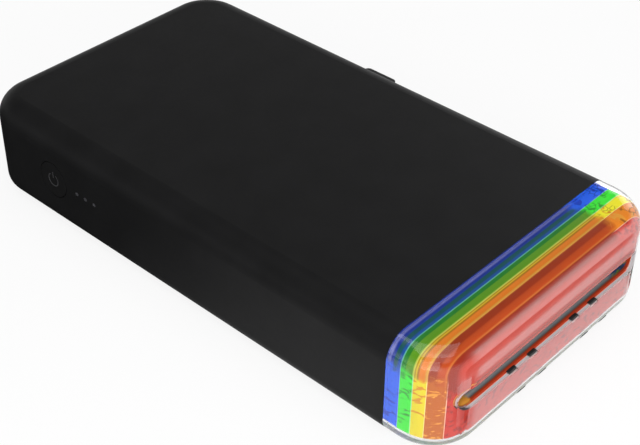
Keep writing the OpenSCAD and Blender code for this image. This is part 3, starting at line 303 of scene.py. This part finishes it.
def tinted(name, tones, side, smudge, left_side=None, **polish):
    """Tinted clear plate with light and shade painted into its colour: from above its layers show as
    stripes in painted shade, and its ends and lower sides are painted bright as where light shines
    through it, with wavy flow marks. tones are (distance from the rim in mm, colour), side is the
    painted glow's colour, left_side its colour on the left if it differs, and smudge the flow marks'
    colour."""
    made = Finish(name, side, 0.22, **polish)
    first, last = tones[0][0], tones[-1][0]
    behind = made.math("MULTIPLY", made.math("SUBTRACT", made.axis("Y"), RIM_Y), -1000)
    along = made.scaled(behind, first, last)
    stripes = made.tones(along, [((d - first) / (last - first), c) for d, c in tones])
    ripple = made.scaled(made.noise(3 * MM, 3, warp=0.6), 0.3, 0.7, -1.2 * MM, 1.2 * MM)
    wavy_x = made.math("ADD", made.axis("X"), ripple)
    wavy_z = made.math("ADD", made.axis("Z"), ripple)
    # Painted light: the right end, the left end and the lower sides are painted bright, as where
    # light shines through the plate
    right = made.scaled(wavy_x, *RIGHT_PAINTED_GLOW, smooth=True)
    left = made.math("MULTIPLY", made.scaled(wavy_x, *LEFT_PAINTED_GLOW, smooth=True),
                     made.scaled(wavy_z, *LEFT_PAINTED_GLOW_TOP, smooth=True))
    low = made.scaled(wavy_z, *LOW_PAINTED_GLOW, smooth=True)
    painted_glow_share = made.math("MAXIMUM", made.math("MAXIMUM", right, left), low)
    flow = made.noise(2.2 * MM, 3, at=made.stretched((1, 0.6, 1.4)), warp=1.2)
    painted_glow = made.mixed(right, left_side or side, side)
    painted_glow = made.mixed(made.scaled(flow, 0.56, 0.62), painted_glow, smudge)
    # Thin painted highlights along the edges where one plate meets the next
    painted_edge_highlight = tuple(0.6 * c + 0.4 for c in side[:3]) + (1,)
    near_front = made.scaled(behind, last - EDGE_START, last - EDGE_FULL)
    painted_glow = made.mixed(near_front, painted_glow, painted_edge_highlight)
    # Dark crackle in the bright right end
    crackle = made.cells(1.7 * MM, at=made.stretched((1, 1.5, 1), (0, 0, 0.5)),
                         feature="DISTANCE_TO_EDGE")
    patchy = made.scaled(made.noise(4 * MM, 2), 0.5, 0.56)
    cracks = made.math("MULTIPLY", made.scaled(crackle, 0.1, 0.03), patchy)
    cracks = made.math("MULTIPLY", made.math("MULTIPLY", cracks, right), 0.75)
    painted_glow = made.mixed(cracks, painted_glow, tuple(0.25 * c for c in side[:3]) + (1,))
    made.color(made.mixed(painted_glow_share, stripes, painted_glow))
    made.gloss(made.noise(1.5 * MM, 3), 0.12, 0.3)
    waves = made.noise(1.6 * MM, 2, at=made.stretched((1, 1, 2.5)), warp=0.8)
    made.relief(waves, 0.02 * MM, 0.4)
    return made


# The stripe tones below paint each plate's layers as seen from above, in painted shade darker than
# its lit ends, and their thin light lines are painted highlights
blue_tint = tinted("blue_tint", [
    (0.0, paint(120, 125, 200)), (0.5, paint(90, 100, 180)), (0.6, paint(25, 50, 150)),
    (1.2, paint(25, 55, 150)), (1.35, paint(18, 82, 80)), (2.2, paint(20, 80, 95)),
    (2.35, paint(25, 75, 150)), (2.9, paint(30, 85, 160)), (3.1, paint(110, 200, 190)),
], paint(38, 104, 255), paint(25, 66, 205))
blue_tint.give("blue_plate")
green_tint = tinted("green_tint", [
    (3.1, paint(120, 200, 160)), (3.3, paint(35, 125, 45)), (4.1, paint(35, 125, 40)),
    (4.3, paint(95, 155, 35)), (5.7, paint(90, 150, 25)), (6.0, paint(195, 210, 90)),
], paint(66, 245, 62), paint(50, 165, 48))
green_tint.give("green_plate")
yellow_tint = tinted("yellow_tint", [
    (6.1, paint(225, 210, 80)), (6.3, paint(165, 130, 20)), (6.6, paint(225, 190, 50)),
    (6.9, paint(160, 110, 15)), (7.3, paint(230, 130, 40)), (8.2, paint(225, 125, 30)),
    (8.5, paint(215, 160, 60)), (8.8, paint(225, 165, 75)),
], paint(255, 246, 48), paint(225, 150, 30), left_side=paint(238, 218, 30))
yellow_tint.give("yellow_plate")
orange_tint = tinted("orange_tint", [
    (8.8, paint(205, 120, 42)), (8.95, paint(150, 52, 20)), (10.1, paint(152, 50, 18)),
    (10.4, paint(182, 72, 24)), (11.3, paint(190, 74, 26)), (11.6, paint(205, 118, 56)),
    (11.75, paint(160, 58, 26)), (11.9, paint(150, 46, 24)),
], paint(236, 138, 36), paint(232, 158, 56), left_side=paint(194, 100, 20))
orange_tint.give("orange_plate")
red_tint = tinted("red_tint", [
    (11.9, paint(150, 46, 24)), (12.6, paint(150, 44, 28)), (13.1, paint(196, 58, 40)),
    (13.9, paint(222, 66, 46)),
], paint(206, 55, 38), paint(158, 30, 26), left_side=paint(204, 44, 26),
    Coat_IOR=2.3, Coat_Roughness=0.05)
# The red plate's gloss shows on the front, and fades out towards its left corner
sheen = red_tint.scaled(red_tint.axis("X"), -30 * MM, -26.5 * MM, smooth=True)
red_tint.link(sheen, red_tint.shader.inputs["Coat Weight"])
red_tint.give("red_plate")

# Metals
turned_steel = metal("turned_steel", (0.6, 0.61, 0.63, 1), 0.28, (40, 1, 1))
turned_steel.give("hinge_pins", "door_magnet", "charging_socket", "screws", "gear_posts",
                  "head_pivot", "return_springs", "cam_shaft", "pick_shaft")
motor_steel = metal("motor_steel", (0.55, 0.56, 0.58, 1), 0.34, (1, 12, 12), grain=0.5 * MM)
motor_steel.give("cam_motor", "feed_motor")
sheet_steel = metal("sheet_steel", (0.52, 0.54, 0.56, 1), 0.36, (1, 18, 18), grain=0.6 * MM)
sheet_steel.give("door_catch", "bay_deck", "tie_plate", "head_arm")
brass = metal("brass", (0.72, 0.52, 0.25, 1), 0.3, (30, 1, 1))
brass.give("shaft_bushes", "cam_pinion", "feed_pinion")
aluminium = metal("aluminium", (0.76, 0.77, 0.79, 1), 0.36, (1, 20, 20))
aluminium.give("thermal_head")

# The capstan's steel sleeve is knurled to grip the sheet
knurl = metal("knurl", (0.58, 0.59, 0.61, 1), 0.35, (1, 8, 8))
knurl.relief(knurl.cells(0.35 * MM), 0.06 * MM, 0.8)
knurl.give("capstan_roller")

gear_cream = moulded("gear_cream", paint(222, 218, 205), 0.34, grain=0.5 * MM, depth=0.006 * MM,
                     shine=0.45, tone=0.03)
gear_cream.give("two_step_gear", "reduction_gear", "idler_gear", "take_up_gear", "link_gear",
                "capstan_gear", "supply_hub", "take_up_hub")

# Circuit boards: solder mask over copper tracks
board = Finish("board_mask", paint(24, 84, 52), 0.3, Specular_IOR_Level=0.5, Coat_Weight=0.4)
tracks = board.node("TexBrick", offset=0.5, squash=1.0)
board.link(board.place, tracks.inputs["Vector"])
tracks.inputs["Scale"].default_value = 130
tracks.inputs["Mortar Size"].default_value = 0.05
tracks.inputs["Color1"].default_value = paint(22, 78, 48)
tracks.inputs["Color2"].default_value = paint(27, 92, 58)
tracks.inputs["Mortar"].default_value = paint(52, 128, 84)
board.color(tracks.outputs["Color"])
board.gloss(board.noise(1.5 * MM, 3), 0.22, 0.42)
board.relief(tracks.outputs["Fac"], 0.03 * MM, 0.6)
board.give("side_board", "main_board", "charging_board")

foil = Finish("battery_foil", (0.62, 0.64, 0.67, 1), 0.32, Metallic=0.9)
creases = foil.noise(5 * MM, 4, warp=1.5)
foil.color(foil.tones(creases, [(0.3, (0.55, 0.57, 0.6, 1)), (0.7, (0.72, 0.74, 0.76, 1))]))
foil.gloss(creases, 0.24, 0.42)
foil.relief(creases, 0.12 * MM, 0.6)
foil.give("battery")

cable = Finish("cable_amber", paint(150, 92, 38), 0.3, Specular_IOR_Level=0.5, Coat_Weight=0.3)
wires = cable.lines(0.8 * MM, "X")
cable.color(cable.tones(wires, [(0.35, paint(120, 68, 26)), (0.6, paint(178, 112, 50))]))
cable.gloss(wires, 0.22, 0.36)
cable.relief(wires, 0.03 * MM)
cable.give("head_cable")

paper = Finish("photo_paper", paint(240, 240, 236), 0.45, Specular_IOR_Level=0.4)
sheets = paper.lines(0.28 * MM, "Z", warp=0.3)
paper.color(paper.tones(sheets, [(0.2, paint(214, 213, 208)), (0.5, paint(242, 242, 238))]))
paper.gloss(paper.noise(2 * MM, 3), 0.3, 0.5)
paper.relief(sheets, 0.05 * MM, 0.5)
paper.give("paper_stack")

film = Finish("dye_film", paint(190, 50, 90), 0.18, Specular_IOR_Level=0.5, Coat_Weight=0.5)
turns = film.lines(9 * MM, "Y", warp=0.2)
film.color(film.tones(turns, [(0.0, paint(214, 168, 40)), (0.4, paint(186, 40, 92)),
                              (0.8, paint(40, 104, 160))]))
film.gloss(film.noise(1.5 * MM, 4, at=film.stretched((0.2, 1, 1))), 0.1, 0.3)
film.relief(film.noise(0.8 * MM, 3, at=film.stretched((0.1, 1, 1))), 0.02 * MM)
film.give("supply_spool", "take_up_spool", "ribbon")

felt = Finish("felt", paint(118, 38, 40), 0.95, Specular_IOR_Level=0.1, Sheen_Weight=0.6)
hairs = felt.noise(0.35 * MM, 6, warp=2.0)
felt.color(felt.tones(hairs, [(0.3, paint(84, 24, 26)), (0.7, paint(150, 58, 58))]))
felt.gloss(hairs, 0.85, 1.0)
felt.relief(hairs, 0.12 * MM)
felt.give("clutch_felt")

roller_rubber = Finish("roller_rubber", paint(46, 46, 48), 0.62, Specular_IOR_Level=0.35)
ground = roller_rubber.noise(0.3 * MM, 4, at=roller_rubber.stretched((8, 1, 1)))
roller_rubber.color(roller_rubber.tones(ground, [(0.3, paint(38, 38, 40)), (0.7, paint(58, 58, 60))]))
roller_rubber.gloss(ground, 0.52, 0.72)
roller_rubber.relief(ground, 0.02 * MM)
roller_rubber.give("platen_roller", "pinch_roller", "pick_roller")


# Finishes of the pieces made here
sign_grey = moulded("sign_grey", paint(58, 58, 60), 0.4, grain=0.1 * MM, depth=0.003 * MM)

rib_black = moulded("rib_black", paint(30, 32, 33), 0.35, grain=0.15 * MM, depth=0.006 * MM)
# Painted highlight: the ribs are painted pale below their top rim, which takes in their sunk middles
rib_highlight_share = rib_black.scaled(rib_black.axis("Z"), 11.56 * MM, 11.52 * MM)
rib_black.color(rib_black.mixed(rib_highlight_share, paint(34, 36, 37), paint(120, 124, 124)))

# Dark finish for the painted reflections of the lip ribs in the nose's lower edge
rib_image_black = moulded("rib_image_black", paint(32, 33, 34), 0.4, grain=0.15 * MM, depth=0.006 * MM)

# Inside the exit slot: a frosted lip, then the red plate's cut edge, then the dark chute. Depth
# runs from 0 at the nose's front to 1 at the chute, and follows the nose's rounded corners
liner = Finish("slot_liner", paint(150, 150, 150), 0.35, Specular_IOR_Level=0.3)
over = liner.math("MAXIMUM", liner.math("SUBTRACT", liner.math("ABSOLUTE", liner.axis("X")),
                                       CORNER_X), 0.0)
rest = liner.math("SUBTRACT", CORNER_R ** 2, liner.math("MULTIPLY", over, over))
fall = liner.math("SUBTRACT", CORNER_R, liner.math("SQRT", rest))
depth_in = liner.scaled(liner.math("SUBTRACT", liner.axis("Y"), fall), NOSE_LO.y, CHUTE_Y)
rough_x = liner.noise(1.6 * MM, 3, warp=0.6)
jagged = liner.scaled(rough_x, 0.3, 0.7, -0.8 * MM, 0.8 * MM)
along_slot = liner.math("ADD", liner.axis("X"), jagged)
# The lip's white front edge and the pale line at its back step are painted highlights
lip = liner.tones(depth_in, [
    (0.0, paint(250, 248, 248)), (0.035, paint(236, 230, 232)), (0.06, paint(196, 190, 192)),
    (0.24, paint(200, 198, 202)), (0.265, paint(240, 226, 222)), (0.3, paint(226, 120, 96)),
    (0.33, paint(186, 62, 30)), (0.5, paint(176, 58, 28)), (0.54, paint(120, 66, 48)),
    (0.57, paint(90, 96, 98)), (0.75, paint(150, 156, 158)), (1.0, paint(120, 126, 130)),
])
# Its left end is dark on the lip, a painted shade, and amber behind it, and its right end holds small
# sparks, painted glints of the plates' colours
under = liner.scaled(liner.axis("Z"), 13.6 * MM, 12.8 * MM)
on_lip = liner.scaled(depth_in, 0.3, 0.27)
painted_shade_on_lip = liner.math("MULTIPLY", liner.scaled(along_slot, -29.8 * MM, -30.6 * MM),
                      liner.math("MULTIPLY", under, on_lip))
amber_end = liner.math("MULTIPLY", liner.scaled(along_slot, -28.2 * MM, -29 * MM),
                       liner.math("SUBTRACT", 1.0, on_lip))
left_end = liner.math("MAXIMUM", painted_shade_on_lip, amber_end)
dark_then_amber = liner.tones(depth_in, [
    (0.0, paint(72, 70, 76)), (0.28, paint(60, 58, 64)), (0.31, paint(176, 84, 40)),
    (0.45, paint(240, 170, 70)), (0.7, paint(226, 150, 56)), (0.85, paint(196, 150, 60)),
])
# Painted glints: small coloured reflections of the plates in the slot's right end
painted_glints = liner.tones(liner.noise(1.3 * MM, 2, at=liner.stretched((0.6, 1.6, 1.6)), warp=1.0), [
    (0.36, paint(52, 60, 56)), (0.44, paint(40, 84, 170)), (0.5, paint(60, 66, 60)),
    (0.56, paint(96, 140, 60)), (0.62, paint(214, 150, 70)), (0.7, paint(70, 70, 66)),
])
right_end = liner.math("MULTIPLY", liner.scaled(along_slot, 24 * MM, 27 * MM),
                       liner.scaled(depth_in, 0.5, 0.56))
liner.color(liner.mixed(right_end, liner.mixed(left_end, lip, dark_then_amber), painted_glints))
liner.gloss(liner.noise(0.9 * MM, 3, at=liner.stretched((0.2, 1, 1))), 0.22, 0.45)
liner.relief(liner.noise(0.6 * MM, 3, at=liner.stretched((0.1, 1, 1))), 0.02 * MM)


def keep(piece, name, body, material):
    """Names a finished piece, gives it its finish and its body."""
    piece.name = name
    piece.data.name = name
    piece.data.materials.clear()
    piece.data.materials.append(material.material)
    bpy.ops.object.select_all(action="DESELECT")
    piece.select_set(True)
    bpy.context.view_layer.objects.active = piece
    bpy.ops.object.transform_apply(location=True, rotation=True, scale=True)
    piece.select_set(False)
    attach(piece, body)
    return piece


def edit(piece, mode="VERT"):
    """Opens one piece in edit mode with nothing selected."""
    bpy.ops.object.select_all(action="DESELECT")
    piece.select_set(True)
    bpy.context.view_layer.objects.active = piece
    bpy.ops.object.mode_set(mode="EDIT")
    bpy.ops.mesh.select_mode(type=mode)
    bpy.ops.mesh.select_all(action="DESELECT")


def pick(piece, test, kind="verts"):
    """Selects the vertices or faces that pass the test."""
    bpy.ops.mesh.select_all(action="DESELECT")
    mesh = bmesh.from_edit_mesh(piece.data)
    for part in getattr(mesh, kind):
        part.select = test(part)
    mesh.select_flush_mode()
    bmesh.update_edit_mesh(piece.data)


def done():
    bpy.ops.object.mode_set(mode="OBJECT")


def apply(piece, kind, **settings):
    """Adds one modifier and applies it."""
    modifier = piece.modifiers.new(kind.lower(), kind)
    for key, value in settings.items():
        setattr(modifier, key, value)
    bpy.context.view_layer.objects.active = piece
    bpy.ops.object.modifier_apply(modifier=modifier.name)


def join(pieces):
    bpy.ops.object.select_all(action="DESELECT")
    for piece in pieces:
        piece.select_set(True)
    bpy.context.view_layer.objects.active = pieces[0]
    bpy.ops.object.join()
    return pieces[0]


def copies(piece, places):
    """The piece itself at the first place and a copy with its own mesh at each other one."""
    made = [piece]
    for _ in places[1:]:
        twin = piece.copy()
        twin.data = piece.data.copy()
        bpy.context.scene.collection.objects.link(twin)
        made.append(twin)
    for one, place in zip(made, places):
        one.location = place
    return join(made)


def clear_shell():
    """The clear nose with its inside drawn on to the plates, so that they show through it clearly.
    Its bottom and the end away from the button keep their air gap, which shows as a pale rim."""
    contact, right_gap, slack = 0.22 * MM, 2.2 * MM, 0.05 * MM
    plate_r, top_r, bottom_r = 8.2 * MM, 3.8 * MM, BOTTOM_R - WALL
    inner_x, inner_y = NOSE_HI.x - WALL, NOSE_LO.y + FRONT_WALL
    low, high = NOSE_LO.z + WALL, NOSE_HI.z - WALL

    def inside(at):
        drop = max(at.z - (high - top_r), 0)
        rise = max(low + bottom_r - at.z, 0)
        inset = top_r - math.sqrt(max(top_r ** 2 - drop ** 2, 0))
        inset += bottom_r - math.sqrt(max(bottom_r ** 2 - rise ** 2, 0))
        across = max(abs(at.x) - (inner_x - plate_r), 0)
        ahead = max(inner_y + plate_r - at.y, 0)
        return (low - 0.01 * MM < at.z < high + 0.01 * MM
                and math.hypot(across, ahead) < plate_r - inset + 0.02 * MM)

    piece = bpy.data.objects.new("nose_shell", NODES["clear_nose"].data.copy())
    bpy.context.scene.collection.objects.link(piece)
    edit(piece)
    bpy.ops.mesh.select_all(action="SELECT")
    bpy.ops.mesh.remove_doubles(threshold=0.002 * MM)
    pick(piece, lambda vert: inside(vert.co) and vert.co.x < inner_x - right_gap
         and vert.co.z > low + bottom_r - slack)
    middle = Vector((0, RIM_Y - 0.1 * MM, (low + high) / 2))
    bpy.ops.transform.resize(value=(1 - contact / inner_x, 1 - contact / (middle.y - inner_y),
                                    1 - contact / (high - middle.z)), center_override=middle)
    done()
    keep(piece, "nose_shell", NODES["clear_nose"]["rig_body"], nose_clear)
    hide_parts("clear_nose")
    return piece


def slot_liner():
    """Thin sleeve in the exit slot: the lip, then a low step up to the plate's edge and chute."""
    outer, lip_deep, step, skin = SLOT_R - 0.03 * MM, 0.95 * MM, 0.19 * MM, 0.04 * MM
    points = 64
    bpy.ops.mesh.primitive_circle_add(
        vertices=points, radius=outer, location=(0, NOSE_LO.y + 0.05 * MM, SLOT_Z),
        rotation=(math.radians(90), math.radians(180 / points), 0))
    piece = bpy.context.object
    bpy.ops.object.transform_apply(location=True, rotation=True, scale=True)
    edit(piece)
    for side in (-1, 1):
        pick(piece, lambda vert: vert.co.x * side > 0)
        bpy.ops.transform.translate(value=(side * SLOT_STRAIGHT, 0, 0))
    bpy.ops.mesh.select_all(action="SELECT")
    bpy.ops.mesh.extrude_region_move(TRANSFORM_OT_translate={"value": (0, lip_deep, 0)})
    bpy.ops.mesh.extrude_region_move(TRANSFORM_OT_translate={"value": (0, 0, step)})
    bpy.ops.transform.resize(value=(1, 1, (outer - step) / outer),
                             center_override=(0, 0, SLOT_Z + step))
    bpy.ops.mesh.extrude_region_move(
        TRANSFORM_OT_translate={"value": (0, CHUTE_Y - NOSE_LO.y - lip_deep - 0.1 * MM, 0)})
    bpy.ops.mesh.select_all(action="SELECT")
    bpy.ops.mesh.normals_make_consistent(inside=False)
    # The ends move back with the nose's rounded corners
    places = {round(v.co.x, 6) for v in bmesh.from_edit_mesh(piece.data).verts}
    for place in sorted(places):
        over = max(abs(place) - CORNER_X, 0)
        if over:
            pick(piece, lambda vert: abs(vert.co.x - place) < 0.002 * MM)
            fall = CORNER_R - math.sqrt(CORNER_R ** 2 - over ** 2)
            bpy.ops.transform.translate(value=(0, fall, 0))
    done()
    apply(piece, "SOLIDIFY", thickness=skin, offset=-1)
    return keep(piece, "slot_liner", "printer", liner)


RIB_X = [x * MM for x in (-15.5, -8.1, 7.7, 15.1)]
# Where the lip ribs show refracted through the clear nose's lower front edge
RIB_IMAGE_X = [x * MM for x in (-10.8, -3.0, 13.5, 21.0)]


def lip_ribs():
    """Four low ribs across the slot's lip, each with a sunk middle; their finish paints them pale
    below the top rim, a painted highlight.
    """
    long, deep, high = 2.6 * MM, 0.84 * MM, 0.34 * MM
    bpy.ops.mesh.primitive_cube_add(size=1, scale=(long, deep, high))
    piece = bpy.context.object
    bpy.ops.object.transform_apply(location=True, rotation=True, scale=True)
    edit(piece, "FACE")
    pick(piece, lambda face: face.normal.z > 0.9, "faces")
    bpy.ops.mesh.inset(thickness=0.22 * MM)
    bpy.ops.transform.translate(value=(0, 0, -0.07 * MM))
    done()
    apply(piece, "BEVEL", width=0.03 * MM, segments=2)
    at_y = NOSE_LO.y + 0.1 * MM + deep / 2
    base = SLOT_Z - SLOT_R + 0.02 * MM
    ribs = copies(piece, [(x, at_y, base + high / 2) for x in RIB_X])
    return keep(ribs, "lip_ribs", "printer", rib_black)


def rib_images():
    """Four short dark marks in the clear nose's lower front edge: a painted reflection, standing
    where the lip ribs show refracted through that edge.
    """
    slope = math.radians(29)
    long, thick, high = 2.3 * MM, 0.14 * MM, 1.2 * MM
    bpy.ops.mesh.primitive_cube_add(size=1, scale=(long, thick, high))
    piece = bpy.context.object
    bpy.ops.object.transform_apply(location=True, rotation=True, scale=True)
    edit(piece, "FACE")
    pick(piece, lambda face: face.normal.y < -0.9, "faces")
    bpy.ops.mesh.inset(thickness=0.06 * MM)
    bpy.ops.transform.translate(value=(0, -0.03 * MM, 0))
    done()
    apply(piece, "BEVEL", width=0.02 * MM, segments=2)
    piece.rotation_euler = (slope, 0, 0)
    at_y = NOSE_LO.y + BOTTOM_R * (1 - math.cos(slope))
    at_z = NOSE_LO.z + BOTTOM_R * (1 - math.sin(slope))
    ribs = copies(piece, [(x, at_y, at_z) for x in RIB_IMAGE_X])
    return keep(ribs, "rib_images", "printer", rib_image_black)


def power_mark():
    """The raised power sign on the button: an open ring and a short bar."""
    middle = (BUTTON_LO + BUTTON_HI) / 2
    ring_r, line, high, open_angle = 1.75 * MM, 0.26 * MM, 0.06 * MM, 70
    turn = 360 - open_angle
    bpy.ops.mesh.primitive_plane_add(size=1, location=(0, 0, -ring_r),
                                     rotation=(math.radians(90), 0, 0))
    ring = bpy.context.object
    ring.scale = (high, line, 1)
    bpy.ops.object.transform_apply(location=True, rotation=True, scale=True)
    edit(ring)
    bpy.ops.mesh.select_all(action="SELECT")
    bpy.ops.mesh.spin(steps=40, angle=math.radians(turn), center=(0, 0, 0), axis=(1, 0, 0))
    bpy.ops.mesh.select_all(action="SELECT")
    bpy.ops.mesh.remove_doubles(threshold=0.001 * MM)
    bpy.ops.mesh.normals_make_consistent(inside=False)
    done()
    spread = sum(v.co.y for v in ring.data.vertices)
    ring.rotation_euler = (math.radians(-turn / 2 if spread > 0 else turn / 2), 0, 0)
    bpy.ops.mesh.primitive_cube_add(size=1, location=(0, 0, ring_r * 0.8),
                                    scale=(high, line, ring_r * 0.95))
    bar = bpy.context.object
    bpy.ops.object.transform_apply(location=True, rotation=True, scale=True)
    apply(bar, "BEVEL", width=0.02 * MM, segments=2)
    bpy.ops.object.select_all(action="DESELECT")
    ring.select_set(True)
    bpy.context.view_layer.objects.active = ring
    bpy.ops.object.transform_apply(location=True, rotation=True, scale=True)
    sign = join([ring, bar])
    sign.location = (BUTTON_LO.x, middle.y, middle.z)
    return keep(sign, "power_sign", NODES["power_button"]["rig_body"], sign_grey)


clear_shell()
slot_liner()
lip_ribs()
rib_images()
power_mark()


# Stage: a pale floor and plain soft light. The camera and clear plastic see the background white,
# and so do glossy surfaces, but the studio is darker overhead and on the button's side.
bpy.ops.mesh.primitive_plane_add(size=12, location=(0, 0, 0))
floor = bpy.context.object
floor.name = "floor"


# How white the floor looks to the camera and through clear plastic, the rest being its shadow
FLOOR_SEEN, FLOOR_THROUGH = 0.86, 0.96
# The world's light on everything, and how bright the studio's dark top is in reflections
SOFT_LIGHT, DARK_TOP = 0.45, 0.07


class Backdrop:
    """Nodes for the floor or the world: one look for light, and one for what sees it directly."""

    def __init__(self, tree, output):
        self.tree = tree
        tree.nodes.clear()
        self.out = tree.nodes.new(output)
        self.path = tree.nodes.new("ShaderNodeLightPath")

    def math(self, kind, first, second=None):
        made = self.tree.nodes.new("ShaderNodeMath")
        made.operation = kind
        made.use_clamp = True
        for socket, value in zip(made.inputs, (first, second)):
            if isinstance(value, (int, float)):
                socket.default_value = value
            elif value is not None:
                self.tree.links.new(value, socket)
        return made.outputs[0]

    def ranged(self, value, low, high, to_low, to_high):
        made = self.tree.nodes.new("ShaderNodeMapRange")
        made.interpolation_type = "SMOOTHSTEP"
        for key, number in (("From Min", low), ("From Max", high), ("To Min", to_low),
                            ("To Max", to_high)):
            made.inputs[key].default_value = number
        self.tree.links.new(value, made.inputs["Value"])
        return made.outputs["Result"]

    def letter(self, vector, name):
        split = self.tree.nodes.new("ShaderNodeSeparateXYZ")
        self.tree.links.new(vector, split.inputs["Vector"])
        return split.outputs[name]

    def join(self, share, first, second):
        made = self.tree.nodes.new("ShaderNodeMixShader")
        for socket, value in zip(made.inputs, (share, first, second)):
            self.tree.links.new(value, socket)
        return made.outputs[0]

    def finish(self, seen, lit, white):
        self.tree.links.new(self.join(seen, lit, white), self.out.inputs["Surface"])


floor.data.materials.append(bpy.data.materials.new("pale_floor"))
floor.data.materials[0].use_nodes = True
ground = Backdrop(floor.data.materials[0].node_tree, "ShaderNodeOutputMaterial")
matt = ground.tree.nodes.new("ShaderNodeBsdfDiffuse")
matt.inputs["Color"].default_value = (0.82, 0.82, 0.82, 1)
bright = ground.tree.nodes.new("ShaderNodeEmission")
where = ground.tree.nodes.new("ShaderNodeTexCoord").outputs["Object"]
left_tone = ground.ranged(ground.letter(where, "Y"), 40 * MM, -52 * MM, 0.04, 1.0)
right_share = ground.ranged(ground.letter(where, "X"), -36 * MM, -16 * MM, 0, 0.95)
seen_tone = ground.math("MAXIMUM", left_tone, right_share)
glossy = ground.path.outputs["Is Glossy Ray"]
darker = ground.math("MULTIPLY", glossy, ground.math("SUBTRACT", 1.0, seen_tone))
ground.tree.links.new(ground.math("SUBTRACT", 1.0, darker), bright.inputs["Strength"])
direct = ground.math("MAXIMUM",
                     ground.math("MULTIPLY", ground.path.outputs["Is Camera Ray"], FLOOR_SEEN),
                     ground.math("MULTIPLY", ground.path.outputs["Is Transmission Ray"],
                                 FLOOR_THROUGH))
ground.finish(ground.math("MAXIMUM", direct, glossy),
              matt.outputs[0], bright.outputs[0])

world = bpy.data.worlds.new("studio")
bpy.context.scene.world = world
world.use_nodes = True
sky = Backdrop(world.node_tree, "ShaderNodeOutputWorld")
soft = sky.tree.nodes.new("ShaderNodeBackground")
soft.inputs["Color"].default_value = (1, 1, 1, 1)
soft.inputs["Strength"].default_value = SOFT_LIGHT
white = sky.tree.nodes.new("ShaderNodeBackground")
white.inputs["Color"].default_value = (1, 1, 1, 1)
white.inputs["Strength"].default_value = 1.0
dim = sky.tree.nodes.new("ShaderNodeBackground")
dim.inputs["Color"].default_value = (1, 1, 1, 1)
direction = sky.tree.nodes.new("ShaderNodeTexCoord").outputs["Generated"]
dim.inputs["Strength"].default_value = DARK_TOP
lift = sky.ranged(sky.letter(direction, "X"), 0.3, 0.8, 0, 0.14)
height = sky.math("SUBTRACT", sky.letter(direction, "Z"), lift)
overhead = sky.ranged(height, 0.12, 0.42, 0, 1)
mirrored = sky.join(overhead, white.outputs[0], dim.outputs[0])
through = sky.math("MAXIMUM", sky.path.outputs["Is Glossy Ray"],
                   sky.path.outputs["Is Transmission Ray"])
lit = sky.join(through, soft.outputs[0], mirrored)
sky.finish(sky.path.outputs["Is Camera Ray"], lit, white.outputs[0])


def soft_lamp(name, at, size, power, aim=(0, 0, 0.01)):
    data = bpy.data.lights.new(name, "AREA")
    data.shape = "SQUARE"
    data.size = size
    data.energy = power
    lamp = bpy.data.objects.new(name, data)
    lamp.location = at
    lamp.rotation_euler = (Vector(aim) - Vector(at)).to_track_quat("-Z", "Y").to_euler()
    bpy.context.scene.collection.objects.link(lamp)
    return lamp


soft_lamp("overhead", (-0.1, -0.1, 0.9), 0.9, 4.3)
soft_lamp("front_left", (-0.75, -0.45, 0.35), 0.6, 2.2)
# A small lamp by the left front corner, which no surface mirrors
near_left = soft_lamp("near_left", (-0.16, -0.24, 0.12), 0.08, 0.36, aim=(-0.04, -0.03, 0.01))
near_left.visible_glossy = False
near_left.visible_transmission = False
soft_lamp("low_right", (0.7, 0.1, 0.24), 0.4, 0.8)

# Camera at the photograph's angle
VIEW_TURN = math.radians(-47.869)
VIEW_HEIGHT = math.radians(37.537)
VIEW_ROLL = math.radians(0.719)
AIM = Vector((0, 0, 13.8 * MM))
SIDEWAYS, UPWARDS, AWAY = -4.086 * MM, 8.722 * MM, 337.573 * MM
PHOTO_W, FOCAL_PIXELS = 640, 1369.047
back = Vector((math.sin(VIEW_TURN) * math.cos(VIEW_HEIGHT),
               -math.cos(VIEW_TURN) * math.cos(VIEW_HEIGHT), math.sin(VIEW_HEIGHT)))
level = Vector((math.cos(VIEW_TURN), math.sin(VIEW_TURN), 0))
upright = back.cross(level)
right = level * math.cos(VIEW_ROLL) + upright * math.sin(VIEW_ROLL)
up = upright * math.cos(VIEW_ROLL) - level * math.sin(VIEW_ROLL)
eye = AIM + back * AWAY - right * SIDEWAYS - up * UPWARDS
camera = bpy.data.objects.new("camera", bpy.data.cameras.new("camera"))
bpy.context.scene.collection.objects.link(camera)
camera.data.sensor_width = 36
camera.data.lens = FOCAL_PIXELS * camera.data.sensor_width / PHOTO_W
camera.data.clip_start = 0.01
camera.data.clip_end = 20
camera.matrix_world = Matrix((
    (right.x, up.x, back.x, eye.x),
    (right.y, up.y, back.y, eye.y),
    (right.z, up.z, back.z, eye.z),
    (0, 0, 0, 1)))
bpy.context.scene.camera = camera
bpy.context.scene.view_settings.view_transform = "Standard"
